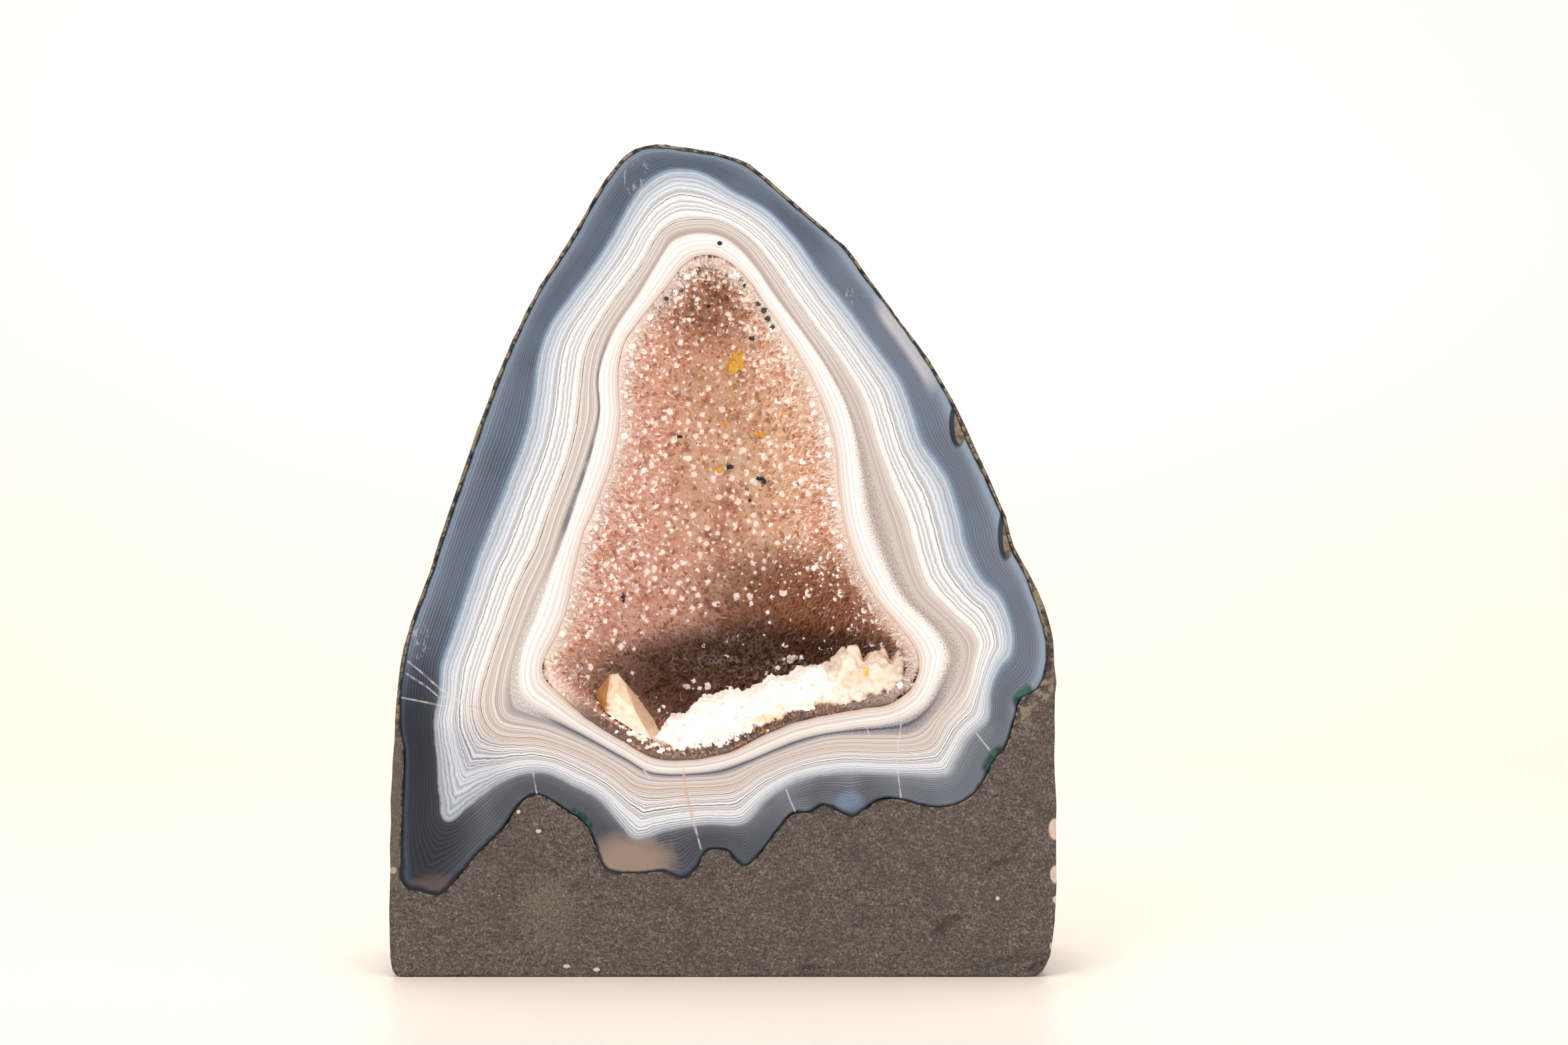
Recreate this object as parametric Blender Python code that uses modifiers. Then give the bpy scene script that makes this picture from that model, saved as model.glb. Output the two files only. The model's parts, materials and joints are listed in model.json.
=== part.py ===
"""Blue lace agate geode on its own cut base.

A dark host rock with a flat foot holds a thick wall of banded agate. The polished front
face shows the bands and a tall pear-shaped hollow, which is lined with a crust of small
quartz crystals. A honey calcite crystal and a knobbly white calcite mass sit on its floor.

Metres, +Z up. The origin is the middle of the foot, and the polished face looks towards -Y.
"""

import math
import random

import bmesh
import bpy
from mathutils import Vector, noise
from mathutils.geometry import interpolate_bezier

MM = 0.001

# Driving sizes of the whole stone
HEIGHT = 160 * MM
DEPTH = 75 * MM
GAP = 0.3 * MM

# The outlines below are (across, down) on a drawing of the front face, in drawing units
OUTLINE_TOP = 216
OUTLINE_FOOT = 1466
OUTLINE_MIDDLE = 1085
UNIT = HEIGHT / (OUTLINE_FOOT - OUTLINE_TOP)

# Host rock
ROCK_CENTRE = Vector((0, 60)) * MM
ROCK_SQUARENESS = 2.6
ROCK_RING_DEPTHS = [d * MM for d in (0, 4, 11, 19, 28, 37, 46, 54, 61, 66.5, 70.5, 73, 74.3)]
ROCK_STEP = 7.6 * MM
FOOT_DEPTH = 55 * MM
LUMP_HEIGHT = 3.4 * MM
LUMP_SPAN = 19 * MM
LUMP_FADE = 16 * MM
FOOT_BLEND = 9 * MM

# Agate wall
AGATE_CENTRE = Vector((-1, 62)) * MM
AGATE_DEPTH = 62 * MM
AGATE_SQUARENESS = 2.3
AGATE_RING_DEPTHS = [d * MM for d in (0, 6, 16, 28, 40, 50, 57)]
AGATE_STEP = 8 * MM
AGATE_SMOOTHING = 5

# Hollow and its crystal crust
HOLLOW_CENTRE = Vector((6, 58)) * MM
HOLLOW_DEPTH = 45 * MM
HOLLOW_SQUARENESS = 2.1
HOLLOW_RING_DEPTHS = [d * MM for d in (0, 5, 10.5, 16, 21.5, 26.5, 30.5, 34, 37, 39.5, 41.5,
                                       43, 44.1, 44.7)]
HOLLOW_STEP = 5 * MM
CRUST_THICKNESS = 1.7 * MM
CRYSTAL_HEIGHTS = (1.0 * MM, 2.6 * MM)
COVERED_CRYSTAL_HEIGHT = 0.3 * MM
COVERED_TOP = 62 * MM
COVERED_SLOPE = 0.16
COVERED_BACK = 32 * MM

# Honey calcite crystal: corners as (across, down, distance behind the polished face)
POINT_CORNERS = [
    (909, 1017, 12), (922, 1015, 13), (934, 1031, 12),
    (921, 1043, 9), (903, 1084, 5.5), (875, 1060, 15),
    (950, 1070, 7.5), (968, 1100, 6), (986, 1134, 4.5),
    (952, 1054, 16), (976, 1086, 14), (992, 1118, 12),
    (912, 1093, 5), (942, 1113, 4.5), (880, 1070, 26), (985, 1120, 26),
]

# White calcite mass: its crest line from left to right as (across, down), and its knobs
CLUSTER_CREST = [
    (1000, 1106), (1016, 1082), (1040, 1080), (1062, 1056), (1091, 1044), (1118, 1050),
    (1145, 1034), (1166, 1022), (1190, 1025), (1212, 1008), (1236, 1006), (1256, 1020),
    (1278, 980), (1296, 1002), (1318, 984), (1338, 1006), (1356, 982), (1362, 1010),
]
CLUSTER_LEVELS = 4
CLUSTER_FRONT = 3.5 * MM
CLUSTER_SLOPE = 0.85
CLUSTER_BACK = 27 * MM
KNOB_RADII = (2.0 * MM, 3.4 * MM)
KNOB_SPACING = 4.5 * MM
CLUSTER_VOXEL = 1.1 * MM
CLUSTER_KEPT_SHARE = 0.25

# Front outlines, clockwise from the foot's left corner or from the left side
STONE_OUTLINE = [
    (640, 1466), (602, 1466), (589, 1457), (585, 1438), (584, 1340), (586, 1200),
    (592, 1080), (600, 1000), (612, 945), (636, 880), (664, 795), (700, 690), (733, 597),
    (768, 510), (808, 430), (852, 362), (892, 293), (926, 246), (952, 222), (985, 216),
    (1035, 222), (1085, 230), (1125, 246), (1180, 293), (1240, 344), (1268, 368),
    (1303, 415), (1348, 474), (1395, 540), (1430, 600), (1458, 662), (1490, 728),
    (1510, 775), (1522, 818), (1545, 858), (1570, 918), (1581, 960), (1583, 1060),
    (1586, 1240), (1585, 1350), (1580, 1420), (1572, 1448), (1556, 1464), (1500, 1466),
]
AGATE_OUTLINE = [
    (602, 1090), (602, 1050), (608, 1000), (620, 945), (644, 880), (672, 795), (708, 690),
    (741, 597), (776, 512), (816, 432), (859, 366), (898, 297), (931, 250), (956, 229),
    (985, 223), (1034, 229), (1083, 237), (1121, 252), (1176, 298), (1236, 349),
    (1263, 372), (1298, 419), (1343, 478), (1389, 544), (1424, 603), (1451, 665),
    (1483, 731), (1503, 778), (1515, 821), (1536, 862), (1558, 922), (1568, 962),
    (1566, 1010), (1555, 1033), (1530, 1048), (1520, 1080), (1508, 1118), (1488, 1142),
    (1475, 1170), (1458, 1192), (1430, 1207), (1395, 1209), (1345, 1197), (1318, 1199),
    (1298, 1212), (1280, 1224), (1255, 1214), (1235, 1206), (1215, 1217), (1190, 1219),
    (1165, 1245), (1135, 1285), (1118, 1298), (1106, 1290), (1090, 1274), (1060, 1275),
    (1045, 1300), (1025, 1316), (995, 1306), (955, 1309), (910, 1303), (895, 1268),
    (880, 1235), (850, 1214), (805, 1190), (778, 1206), (755, 1240), (715, 1280),
    (680, 1322), (660, 1341), (630, 1336), (606, 1326), (603, 1290), (606, 1200),
    (608, 1130),
]
HOLLOW_OUTLINE = [
    (1050, 380), (1085, 384), (1120, 412), (1150, 453), (1180, 498), (1212, 550),
    (1240, 612), (1257, 670), (1262, 730), (1273, 795), (1290, 845), (1315, 892),
    (1350, 935), (1376, 970), (1383, 998), (1372, 1032), (1340, 1058), (1290, 1068),
    (1210, 1083), (1150, 1105), (1100, 1130), (1050, 1142), (1000, 1144), (965, 1134),
    (925, 1110), (875, 1078), (835, 1042), (812, 1015), (814, 985), (830, 955),
    (846, 915), (857, 860), (870, 805), (893, 750), (915, 690), (926, 630), (924, 560),
    (933, 515), (960, 475), (1000, 425), (1025, 394),
]
FRONT_Y = -DEPTH / 2


def on_face(across, down):
    """A point of the front drawing as (x, z) in metres."""
    return Vector(((across - OUTLINE_MIDDLE) * UNIT, (OUTLINE_FOOT - down) * UNIT))


def smooth_loop(drawing, step):
    """Closed curve through the drawing's points, with handles a third of each chord long."""
    points = [on_face(*point) for point in drawing]
    count = len(points)
    loop = []
    for i, here in enumerate(points):
        before = points[i - 1]
        after = points[(i + 1) % count]
        beyond = points[(i + 2) % count]
        reach = (after - here).length / 3
        leave = here + (after - before).normalized() * reach
        arrive = after - (beyond - here).normalized() * reach
        samples = max(1, round((after - here).length / step))
        curve = interpolate_bezier(here, leave, arrive, after, samples + 1)
        loop += [Vector(point[:2]) for point in curve[:-1]]
    return loop


def relaxed(loop, times):
    """The loop with its small bays and noses evened out."""
    for _ in range(times):
        loop = [(loop[i - 1] + point * 2 + loop[(i + 1) % len(loop)]) / 4
                for i, point in enumerate(loop)]
    return loop


def drawn_in(depth, reach, squareness):
    """How far a ring at this depth is drawn in, on a superellipse from 1 to 0."""
    share = min(1, max(0, depth / reach))
    return (1 - share ** squareness) ** (1 / squareness)


def evenly_spaced(loop, count):
    """The same closed loop with this many points at even distances, from the same start."""
    lengths = [(loop[(i + 1) % len(loop)] - point).length for i, point in enumerate(loop)]
    pitch = sum(lengths) / count
    spaced = []
    i, walked = 0, 0.0
    for k in range(count):
        while walked + lengths[i] < k * pitch:
            walked += lengths[i]
            i += 1
        share = (k * pitch - walked) / lengths[i]
        spaced.append(loop[i].lerp(loop[(i + 1) % len(loop)], share))
    return spaced


def bowl_rings(loop, centre, depths, reach, squareness, step, smoothing=0):
    """Rings of a bowl behind the front face; its last ring is the single tip point."""
    rings = [[Vector((p.x, FRONT_Y, p.y)) for p in loop]]
    for depth in depths[1:]:
        loop = relaxed(loop, smoothing)
        scale = drawn_in(depth, reach, squareness)
        ring = [centre + (point - centre) * scale for point in loop]
        around = sum((point - ring[i - 1]).length for i, point in enumerate(ring))
        ring = evenly_spaced(ring, max(6, round(around / step)))
        rings.append([Vector((p.x, FRONT_Y + depth, p.y)) for p in ring])
    rings.append([Vector((centre.x, FRONT_Y + reach, centre.y))])
    return rings


def zip_together(bm, near, far):
    """Three-sided faces between two closed rings, which may have unlike counts."""
    i = j = 0
    while i < len(near) or j < len(far):
        a, b = near[i % len(near)], far[j % len(far)]
        next_a, next_b = near[(i + 1) % len(near)], far[(j + 1) % len(far)]
        far_done = j == len(far) or len(far) == 1
        near_is_shorter = (next_a.co - b.co).length < (next_b.co - a.co).length
        if far_done and i == len(near):
            break
        if far_done or (i < len(near) and near_is_shorter):
            bm.faces.new((a, next_a, b))
            i += 1
        else:
            bm.faces.new((a, next_b, b))
            j += 1


def bowl_surface(rings, swell=0.0):
    """Open bowl mesh through the rings, moved out square to itself; gives mesh and mouth."""
    bm = bmesh.new()
    loops = [[bm.verts.new(point) for point in ring] for ring in rings]
    for near, far in zip(loops, loops[1:]):
        zip_together(bm, near, far)
    bm.normal_update()
    for vert in loops[0]:
        vert.normal.y = 0
    for vert in bm.verts:
        vert.co += vert.normal.normalized() * swell
    return bm, loops[0]


def make_collection(name):
    collection = bpy.data.collections.new(name)
    bpy.context.scene.collection.children.link(collection)
    return collection


def make_object(name, bm, collection):
    """Turn a bmesh into an object of the collection, with its faces pointing out."""
    bmesh.ops.recalc_face_normals(bm, faces=bm.faces)
    mesh = bpy.data.meshes.new(name)
    bm.to_mesh(mesh)
    bm.free()
    obj = bpy.data.objects.new(name, mesh)
    collection.objects.link(obj)
    return obj


def make_bowl(name, rings, collection, swell=0.0, overshoot=0.0):
    """Closed solid of a bowl; a cutter's mouth stands forward of the face by an overshoot."""
    bm, mouth = bowl_surface(rings, swell)
    if overshoot:
        lip = [bm.verts.new(vert.co - Vector((0, overshoot, 0))) for vert in mouth]
        zip_together(bm, lip, mouth)
        mouth = lip
    bm.faces.new(mouth)
    return make_object(name, bm, collection)


def hide_as_cutter(obj):
    obj.hide_render = True
    obj.display_type = "WIRE"


def cut(obj, cutter, operation="DIFFERENCE"):
    """Live Boolean of an object with a cutter, by the exact solver."""
    hide_as_cutter(cutter)
    modifier = obj.modifiers.new(f"{operation.title()} {cutter.name}", "BOOLEAN")
    modifier.operation = operation
    modifier.solver = "EXACT"
    modifier.object = cutter


def give_material(obj, name, colour, roughness):
    material = bpy.data.materials.new(name)
    material.use_nodes = True
    shader = material.node_tree.nodes["Principled BSDF"]
    shader.inputs["Base Color"].default_value = (*colour, 1)
    shader.inputs["Roughness"].default_value = roughness
    shader.inputs["Metallic"].default_value = 0
    obj.data.materials.append(material)


def foot_scale(depth):
    """The rock keeps its full height below the middle as far back as the foot reaches."""
    heel = max(0, depth - FOOT_DEPTH) / (DEPTH - FOOT_DEPTH)
    return math.sqrt(1 - min(1, heel) ** 2)


def roughened(point):
    """Move a point of the rock's outside by broad lumps that fade out at face and foot."""
    depth = max(0, point.y - FRONT_Y)
    lump = noise.noise(point / LUMP_SPAN) + 0.5 * noise.noise(point / LUMP_SPAN * 2.3)
    fade = min(1, depth / LUMP_FADE) * min(1, point.z / FOOT_BLEND)
    away = Vector((point.x, 0.4 * depth, point.z - ROCK_CENTRE.y)).normalized()
    moved = point + away * LUMP_HEIGHT * lump * fade
    moved.y = min(moved.y, DEPTH / 2)
    return moved


def rock_rings():
    """The stone's rings: drawn in towards the back, but with a foot that stays on the floor."""
    rings = []
    for ring in bowl_rings(smooth_loop(STONE_OUTLINE, ROCK_STEP), ROCK_CENTRE,
                           ROCK_RING_DEPTHS, DEPTH, ROCK_SQUARENESS, ROCK_STEP):
        depth = ring[0].y - FRONT_Y
        stretch = foot_scale(depth) / max(drawn_in(depth, DEPTH, ROCK_SQUARENESS), 0.01)
        placed = []
        for point in ring:
            if point.z < ROCK_CENTRE.y:
                point.z = max(0, ROCK_CENTRE.y + (point.z - ROCK_CENTRE.y) * stretch)
            placed.append(roughened(point))
        rings.append(placed)
    return rings


def build_host_rock(parts, pocket):
    """One stone: flat foot, flat front, thin rind round the agate and a rough round back."""
    rock = make_bowl("host_rock", rock_rings(), parts)
    cut(rock, pocket)
    give_material(rock, "painted host rock", (0.075, 0.066, 0.058), 0.75)
    return rock


def build_agate_wall(parts, rings, hollow):
    """The banded wall: a deep bowl-shaped body with the crystal hollow cut into its face."""
    agate = make_bowl("agate_wall", rings, parts)
    cut(agate, hollow)
    give_material(agate, "blue lace agate", (0.62, 0.66, 0.74), 0.15)
    return agate


def lies_under_calcite(place):
    """The calcite stands on the front of the floor, and higher to the right."""
    top = COVERED_TOP + COVERED_SLOPE * place.x
    return place.z < top and place.y < FRONT_Y + COVERED_BACK


def build_druse_crust(parts, hollow_rings):
    """A skin on the hollow's wall whose inner faces rise to low flat-faced crystals."""
    bm, outer_mouth = bowl_surface(hollow_rings, -GAP)
    inner, inner_mouth = bowl_surface(hollow_rings, -GAP - CRUST_THICKNESS)
    copies = {vert: bm.verts.new(vert.co) for vert in inner.verts}
    inner_faces = [bm.faces.new([copies[v] for v in face.verts]) for face in inner.faces]
    zip_together(bm, outer_mouth, [copies[vert] for vert in inner_mouth])
    inner.free()
    bmesh.ops.recalc_face_normals(bm, faces=bm.faces)

    rng = random.Random(7)
    peaks = bmesh.ops.poke(bm, faces=inner_faces)["verts"]
    bm.normal_update()
    for peak in peaks:
        height = rng.uniform(*CRYSTAL_HEIGHTS)
        lean = Vector((rng.uniform(-1, 1), rng.uniform(-1, 1), rng.uniform(-1, 1)))
        at_lip = peak.co.y < FRONT_Y + CRYSTAL_HEIGHTS[1]
        if at_lip or lies_under_calcite(peak.co):
            height = COVERED_CRYSTAL_HEIGHT
        peak.co += (peak.normal + 0.2 * lean) * height
    crust = make_object("druse_crust", bm, parts)
    give_material(crust, "pink quartz druse", (0.52, 0.36, 0.31), 0.25)
    return crust


def point_block(swell=0.0):
    """Convex block of flat faces through the honey crystal's corners."""
    bm = bmesh.new()
    for across, down, behind in POINT_CORNERS:
        spot = on_face(across, down)
        bm.verts.new((spot.x, FRONT_Y + behind * MM, spot.y))
    hull = bmesh.ops.convex_hull(bm, input=bm.verts)
    unused = [v for v in hull["geom_interior"] if isinstance(v, bmesh.types.BMVert)]
    bmesh.ops.delete(bm, geom=unused, context="VERTS")
    bmesh.ops.recalc_face_normals(bm, faces=bm.faces)
    bm.normal_update()
    for vert in bm.verts:
        vert.co += vert.normal * swell
    return bm


def build_calcite_point(parts, clear_space):
    """One stout crystal that leans left, standing on the crust by the hollow's lip."""
    point = make_object("calcite_point", point_block(), parts)
    cut(point, clear_space, "INTERSECT")
    give_material(point, "honey calcite", (0.78, 0.55, 0.31), 0.3)
    return point


def lip_below(x, rim):
    """Height of the hollow's lower rim at this place along the crest."""
    low = [point for point in rim if point.y < HOLLOW_CENTRE.y]
    return min(low, key=lambda point: abs(point.x - x)).y


def knob_places(rng):
    """Middle and radius of every knob, heaped from the lip at the front up to the crest."""
    rim = smooth_loop(HOLLOW_OUTLINE, HOLLOW_STEP)
    for across, down in CLUSTER_CREST:
        crest = on_face(across, down)
        lip = lip_below(crest.x, rim)
        for level in range(CLUSTER_LEVELS):
            radius = rng.uniform(*KNOB_RADII)
            rise = level / (CLUSTER_LEVELS - 1) * (crest.y - lip - 2 * radius)
            behind = CLUSTER_FRONT + radius + CLUSTER_SLOPE * max(0, rise)
            while behind < CLUSTER_BACK:
                jog = rng.uniform(-1, 1) * MM
                yield Vector((crest.x + jog, FRONT_Y + behind, lip + radius + rise)), radius
                behind += KNOB_SPACING


def build_calcite_cluster(parts, clear_space, point_room):
    """Round knobs grown into one mass that fills the floor behind the hollow's lip."""
    bm = bmesh.new()
    for middle, radius in knob_places(random.Random(11)):
        ball = bmesh.ops.create_icosphere(bm, subdivisions=2, radius=radius)
        bmesh.ops.translate(bm, verts=ball["verts"], vec=middle)
    cluster = make_object("calcite_cluster", bm, parts)
    grow = cluster.modifiers.new("Grow together", "REMESH")
    grow.mode = "VOXEL"
    grow.voxel_size = CLUSTER_VOXEL
    thin = cluster.modifiers.new("Fewer faces", "DECIMATE")
    thin.ratio = CLUSTER_KEPT_SHARE
    cut(cluster, clear_space, "INTERSECT")
    cut(cluster, point_room)
    give_material(cluster, "white calcite", (0.86, 0.80, 0.73), 0.6)
    return cluster


def main():
    for obj in list(bpy.data.objects):
        bpy.data.objects.remove(obj, do_unlink=True)
    parts = make_collection("blue_lace_agate_geode")
    cutters = make_collection("cutters")

    agate_rings = bowl_rings(smooth_loop(AGATE_OUTLINE, AGATE_STEP), AGATE_CENTRE,
                             AGATE_RING_DEPTHS, AGATE_DEPTH, AGATE_SQUARENESS, AGATE_STEP,
                             AGATE_SMOOTHING)
    hollow_rings = bowl_rings(smooth_loop(HOLLOW_OUTLINE, HOLLOW_STEP), HOLLOW_CENTRE,
                              HOLLOW_RING_DEPTHS, HOLLOW_DEPTH, HOLLOW_SQUARENESS, HOLLOW_STEP)
    room = GAP + CRUST_THICKNESS + COVERED_CRYSTAL_HEIGHT + GAP

    pocket = make_bowl("agate_pocket", agate_rings, cutters, swell=GAP, overshoot=5 * MM)
    hollow = make_bowl("hollow", hollow_rings, cutters, overshoot=5 * MM)
    clear_space = make_bowl("clear_space", hollow_rings, cutters, swell=-room)
    point_room = make_object("point_room", point_block(2 * GAP), cutters)

    build_host_rock(parts, pocket)
    build_agate_wall(parts, agate_rings, hollow)
    build_druse_crust(parts, hollow_rings)
    build_calcite_point(parts, clear_space)
    build_calcite_cluster(parts, clear_space, point_room)


main()
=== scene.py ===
# %% [markdown]
# # Dressing a blue lace agate geode
#
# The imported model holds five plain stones: the host rock with its flat foot, the thick wall of
# banded agate, the crust of small quartz crystals in the hollow, one honey-coloured calcite
# crystal and a white calcite mass. This lesson keeps their shapes and sizes and gives each one
# the surface and the finish of the real stone.

import json
import math
import random

import bmesh
import bpy
import numpy as np
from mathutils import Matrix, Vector, noise
from mathutils.bvhtree import BVHTree
from mathutils.geometry import delaunay_2d_cdt, interpolate_bezier
from mathutils.kdtree import KDTree

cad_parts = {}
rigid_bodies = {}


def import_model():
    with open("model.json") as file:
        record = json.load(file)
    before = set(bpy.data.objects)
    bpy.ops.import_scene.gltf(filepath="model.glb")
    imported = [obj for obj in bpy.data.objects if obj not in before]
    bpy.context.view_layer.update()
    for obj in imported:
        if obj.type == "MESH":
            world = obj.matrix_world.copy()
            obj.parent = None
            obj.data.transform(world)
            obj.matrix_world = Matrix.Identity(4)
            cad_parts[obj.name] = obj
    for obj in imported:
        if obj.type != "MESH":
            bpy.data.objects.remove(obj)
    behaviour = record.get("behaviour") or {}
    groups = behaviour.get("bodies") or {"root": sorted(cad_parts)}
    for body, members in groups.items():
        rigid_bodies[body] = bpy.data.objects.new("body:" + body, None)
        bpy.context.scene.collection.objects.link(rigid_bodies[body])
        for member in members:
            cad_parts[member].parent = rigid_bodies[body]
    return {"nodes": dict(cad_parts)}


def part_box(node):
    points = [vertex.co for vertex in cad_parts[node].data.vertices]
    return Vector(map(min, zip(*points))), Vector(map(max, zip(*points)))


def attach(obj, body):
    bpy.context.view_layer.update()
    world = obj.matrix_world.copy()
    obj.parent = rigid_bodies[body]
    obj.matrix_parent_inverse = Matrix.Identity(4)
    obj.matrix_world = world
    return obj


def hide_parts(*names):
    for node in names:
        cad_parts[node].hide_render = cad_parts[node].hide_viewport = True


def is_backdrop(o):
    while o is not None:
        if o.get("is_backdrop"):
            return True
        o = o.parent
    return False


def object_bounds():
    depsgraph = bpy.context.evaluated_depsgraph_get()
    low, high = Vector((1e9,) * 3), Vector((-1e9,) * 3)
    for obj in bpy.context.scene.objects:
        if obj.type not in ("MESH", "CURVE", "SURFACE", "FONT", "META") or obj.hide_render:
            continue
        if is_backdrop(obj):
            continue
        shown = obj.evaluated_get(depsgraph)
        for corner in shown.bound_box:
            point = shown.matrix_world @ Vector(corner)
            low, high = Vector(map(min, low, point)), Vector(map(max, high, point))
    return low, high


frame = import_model()
cad_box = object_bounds()
nodes = frame["nodes"]
scene = bpy.context.scene
MM = 0.001
print("stones in the frame:", sorted(nodes))

# %% [markdown]
# ## A drawing of the face
#
# The polished front is one flat plane, so every mark on it can be given as a place on a
# drawing. The drawing counts across and down in units of 0.128 mm, and two small functions
# turn such a place into metres. The whole picture is 2353 by 1568 units.

# %% Drawing units
UNIT = 0.128 * MM
MIDDLE_ACROSS, FOOT_DOWN = 1085, 1466
PICTURE_WIDE, PICTURE_HIGH = 2353, 1568
FRONT_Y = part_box("agate_wall")[0].y
TOUCH = 0.01 * MM


def on_face(across, down):
    """A place of the drawing as (x, z) in metres."""
    return np.array(((across - MIDDLE_ACROSS) * UNIT, (FOOT_DOWN - down) * UNIT))


print(f"face plane at y = {FRONT_Y / MM:.2f} mm")

# %% [markdown]
# ## Camera
#
# The photographer stood square to the polished face, with the camera level and at about
# half the stone's height. A 70 mm lens needs no shift: the camera stands opposite the middle of
# the picture, at the distance where the picture's width covers 2353 units of the face.

# %% Camera
LENS, SENSOR = 70, 36
reach = LENS / SENSOR * PICTURE_WIDE * UNIT
picture_x, picture_z = on_face(PICTURE_WIDE / 2, PICTURE_HIGH / 2)
camera_data = bpy.data.cameras.new("camera")
camera_data.lens, camera_data.sensor_width = LENS, SENSOR
camera = bpy.data.objects.new("camera", camera_data)
camera.location = (picture_x, FRONT_Y - reach, picture_z)
camera.rotation_euler = (math.radians(90), 0, 0)
scene.collection.objects.link(camera)
scene.camera = camera
print(f"camera {reach:.3f} m in front of the face, {picture_z:.3f} m high")

# %% [markdown]
# ## Shader maths in plain Python
#
# Finishes are made of many small sums. Wired by hand, each sum is one node and two links. A
# small class that wraps a socket and understands + - * / turns `1 - mask * 0.5` into those
# nodes. A second class holds a material in the making, with one method that adds any node.


# %% Wire and Finish
class Wire:
    """A value that comes out of a shader node, ready for ordinary sums."""

    def __init__(self, finish, socket):
        self.finish, self.socket = finish, socket

    def sums(self, operation, *values):
        return self.finish.node("Math", {"operation": operation}, dict(enumerate(values)))

    def __add__(self, other):
        return self.sums("ADD", self, other)

    def __sub__(self, other):
        return self.sums("SUBTRACT", self, other)

    def __rsub__(self, other):
        return self.sums("SUBTRACT", other, self)

    def __mul__(self, other):
        return self.sums("MULTIPLY", self, other)

    def __truediv__(self, other):
        return self.sums("DIVIDE", self, other)

    def __rtruediv__(self, other):
        return self.sums("DIVIDE", other, self)

    def __pow__(self, other):
        return self.sums("POWER", self, other)

    def __rpow__(self, other):
        return self.sums("POWER", other, self)

    def __neg__(self):
        return self * -1

    def __abs__(self):
        return self.sums("ABSOLUTE", self)

    __radd__ = __add__
    __rmul__ = __mul__

    def sine(self):
        return self.sums("SINE", self)

    def greater(self, other):
        return self.sums("MAXIMUM", self, other)

    def lesser(self, other):
        return self.sums("MINIMUM", self, other)

    def rise(self, low, high):
        """0 below low, 1 above high and a soft step between them; high may be the lower."""
        settings = {"interpolation_type": "SMOOTHSTEP"}
        return self.finish.node("MapRange", settings,
                                {"Value": self, "From Min": low, "From Max": high})


class Finish:
    """A material in the making."""

    def __init__(self, name, **constants):
        self.material = bpy.data.materials.new(name)
        self.material.use_nodes = True
        self.tree = self.material.node_tree
        self.shader = self.tree.nodes["Principled BSDF"]
        for socket, value in constants.items():
            self.shader.inputs[socket.replace("_", " ")].default_value = value

    def node(self, kind, settings=None, values=None, output=0):
        """Add a node: first its settings, then numbers, colours or wires for its sockets."""
        made = self.tree.nodes.new("ShaderNode" + kind)
        for name, value in (settings or {}).items():
            setattr(made, name, value)
        for socket, value in (values or {}).items():
            self.connect(made.inputs[socket], value)
        return Wire(self, made.outputs[output])

    def connect(self, socket, value):
        if isinstance(value, Wire):
            self.tree.links.new(value.socket, socket)
        else:
            socket.default_value = value

    def place(self):
        """Where on the stone this is, in metres."""
        return self.node("TexCoord", output="Object")

    def attribute(self, name):
        """A number that the mesh carries at each of its points."""
        return self.node("Attribute", {"attribute_name": name}, output="Fac")

    def axes(self, vector):
        """A vector's three parts, each ready for sums."""
        parts = self.node("SeparateXYZ", values={0: vector})
        return [Wire(self, socket) for socket in parts.socket.node.outputs]

    def scaled(self, vector, by):
        return self.node("VectorMath", {"operation": "MULTIPLY"}, {0: vector, 1: by})

    def noise(self, vector, size, detail=2.0, roughness=0.5):
        """Cloudy noise from 0 to 1 whose lumps are about this many metres across."""
        return self.node("TexNoise", values={"Vector": vector, "Scale": 1 / size,
                                             "Detail": detail, "Roughness": roughness})

    def noise_along(self, value, detail=2.0):
        """Noise from 0 to 1 along one number alone: the same all along a band."""
        return self.node("TexNoise", {"noise_dimensions": "1D"},
                         {"W": value, "Scale": 1, "Detail": detail})

    def cells(self, vector, size, feature="F1", output="Distance"):
        return self.node("TexVoronoi", {"feature": feature},
                         {"Vector": vector, "Scale": 1 / size}, output)

    def mix(self, share, under, over, blend="MIX"):
        """Colours: share 0 gives under, share 1 gives over."""
        settings = {"data_type": "RGBA", "blend_type": blend}
        return self.node("Mix", settings, {0: share, 6: under, 7: over}, 2)

    def ramp(self, value, stops, first, last):
        """Colours along a value that runs from first to last."""
        made = self.node("ValToRGB", values={0: (value - first) / (last - first)})
        steps = made.socket.node.color_ramp.elements
        for _ in stops[2:]:
            steps.new(0.5)
        for step, (at, colour) in zip(steps, stops):
            step.position, step.color = (at - first) / (last - first), colour
        return made

    def threads(self, value, count, thin=0.3):
        """Thin lines, this many to each whole number of a value: 1 on a line, 0 between."""
        return (value * (math.tau * count)).sine().rise(thin, 1.0)

    def spot(self, x, z, across, down, wide, high, soft=0.5):
        """1 in an oval on the drawing of the face, and 0 outside it, with a soft edge."""
        centre = on_face(across, down)
        away = (((x - centre[0]) / (wide * UNIT)) ** 2 + ((z - centre[1]) / (high * UNIT)) ** 2)
        return away.rise(1 + soft, 1 - soft)

    def bumps(self, height, depth, strength=1.0, under=None):
        """A Bump node's normal for a height from 0 to 1 that is this deep in metres."""
        values = {"Height": height, "Distance": depth, "Strength": strength}
        if under:
            values["Normal"] = under
        return self.node("Bump", values=values)

    def wear(self, **wires):
        """Plug wires into the shader, then give the material."""
        for socket, value in wires.items():
            self.connect(self.shader.inputs[socket.replace("_", " ")], value)
        return self.material


PANEL_GAIN = 0.86


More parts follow.
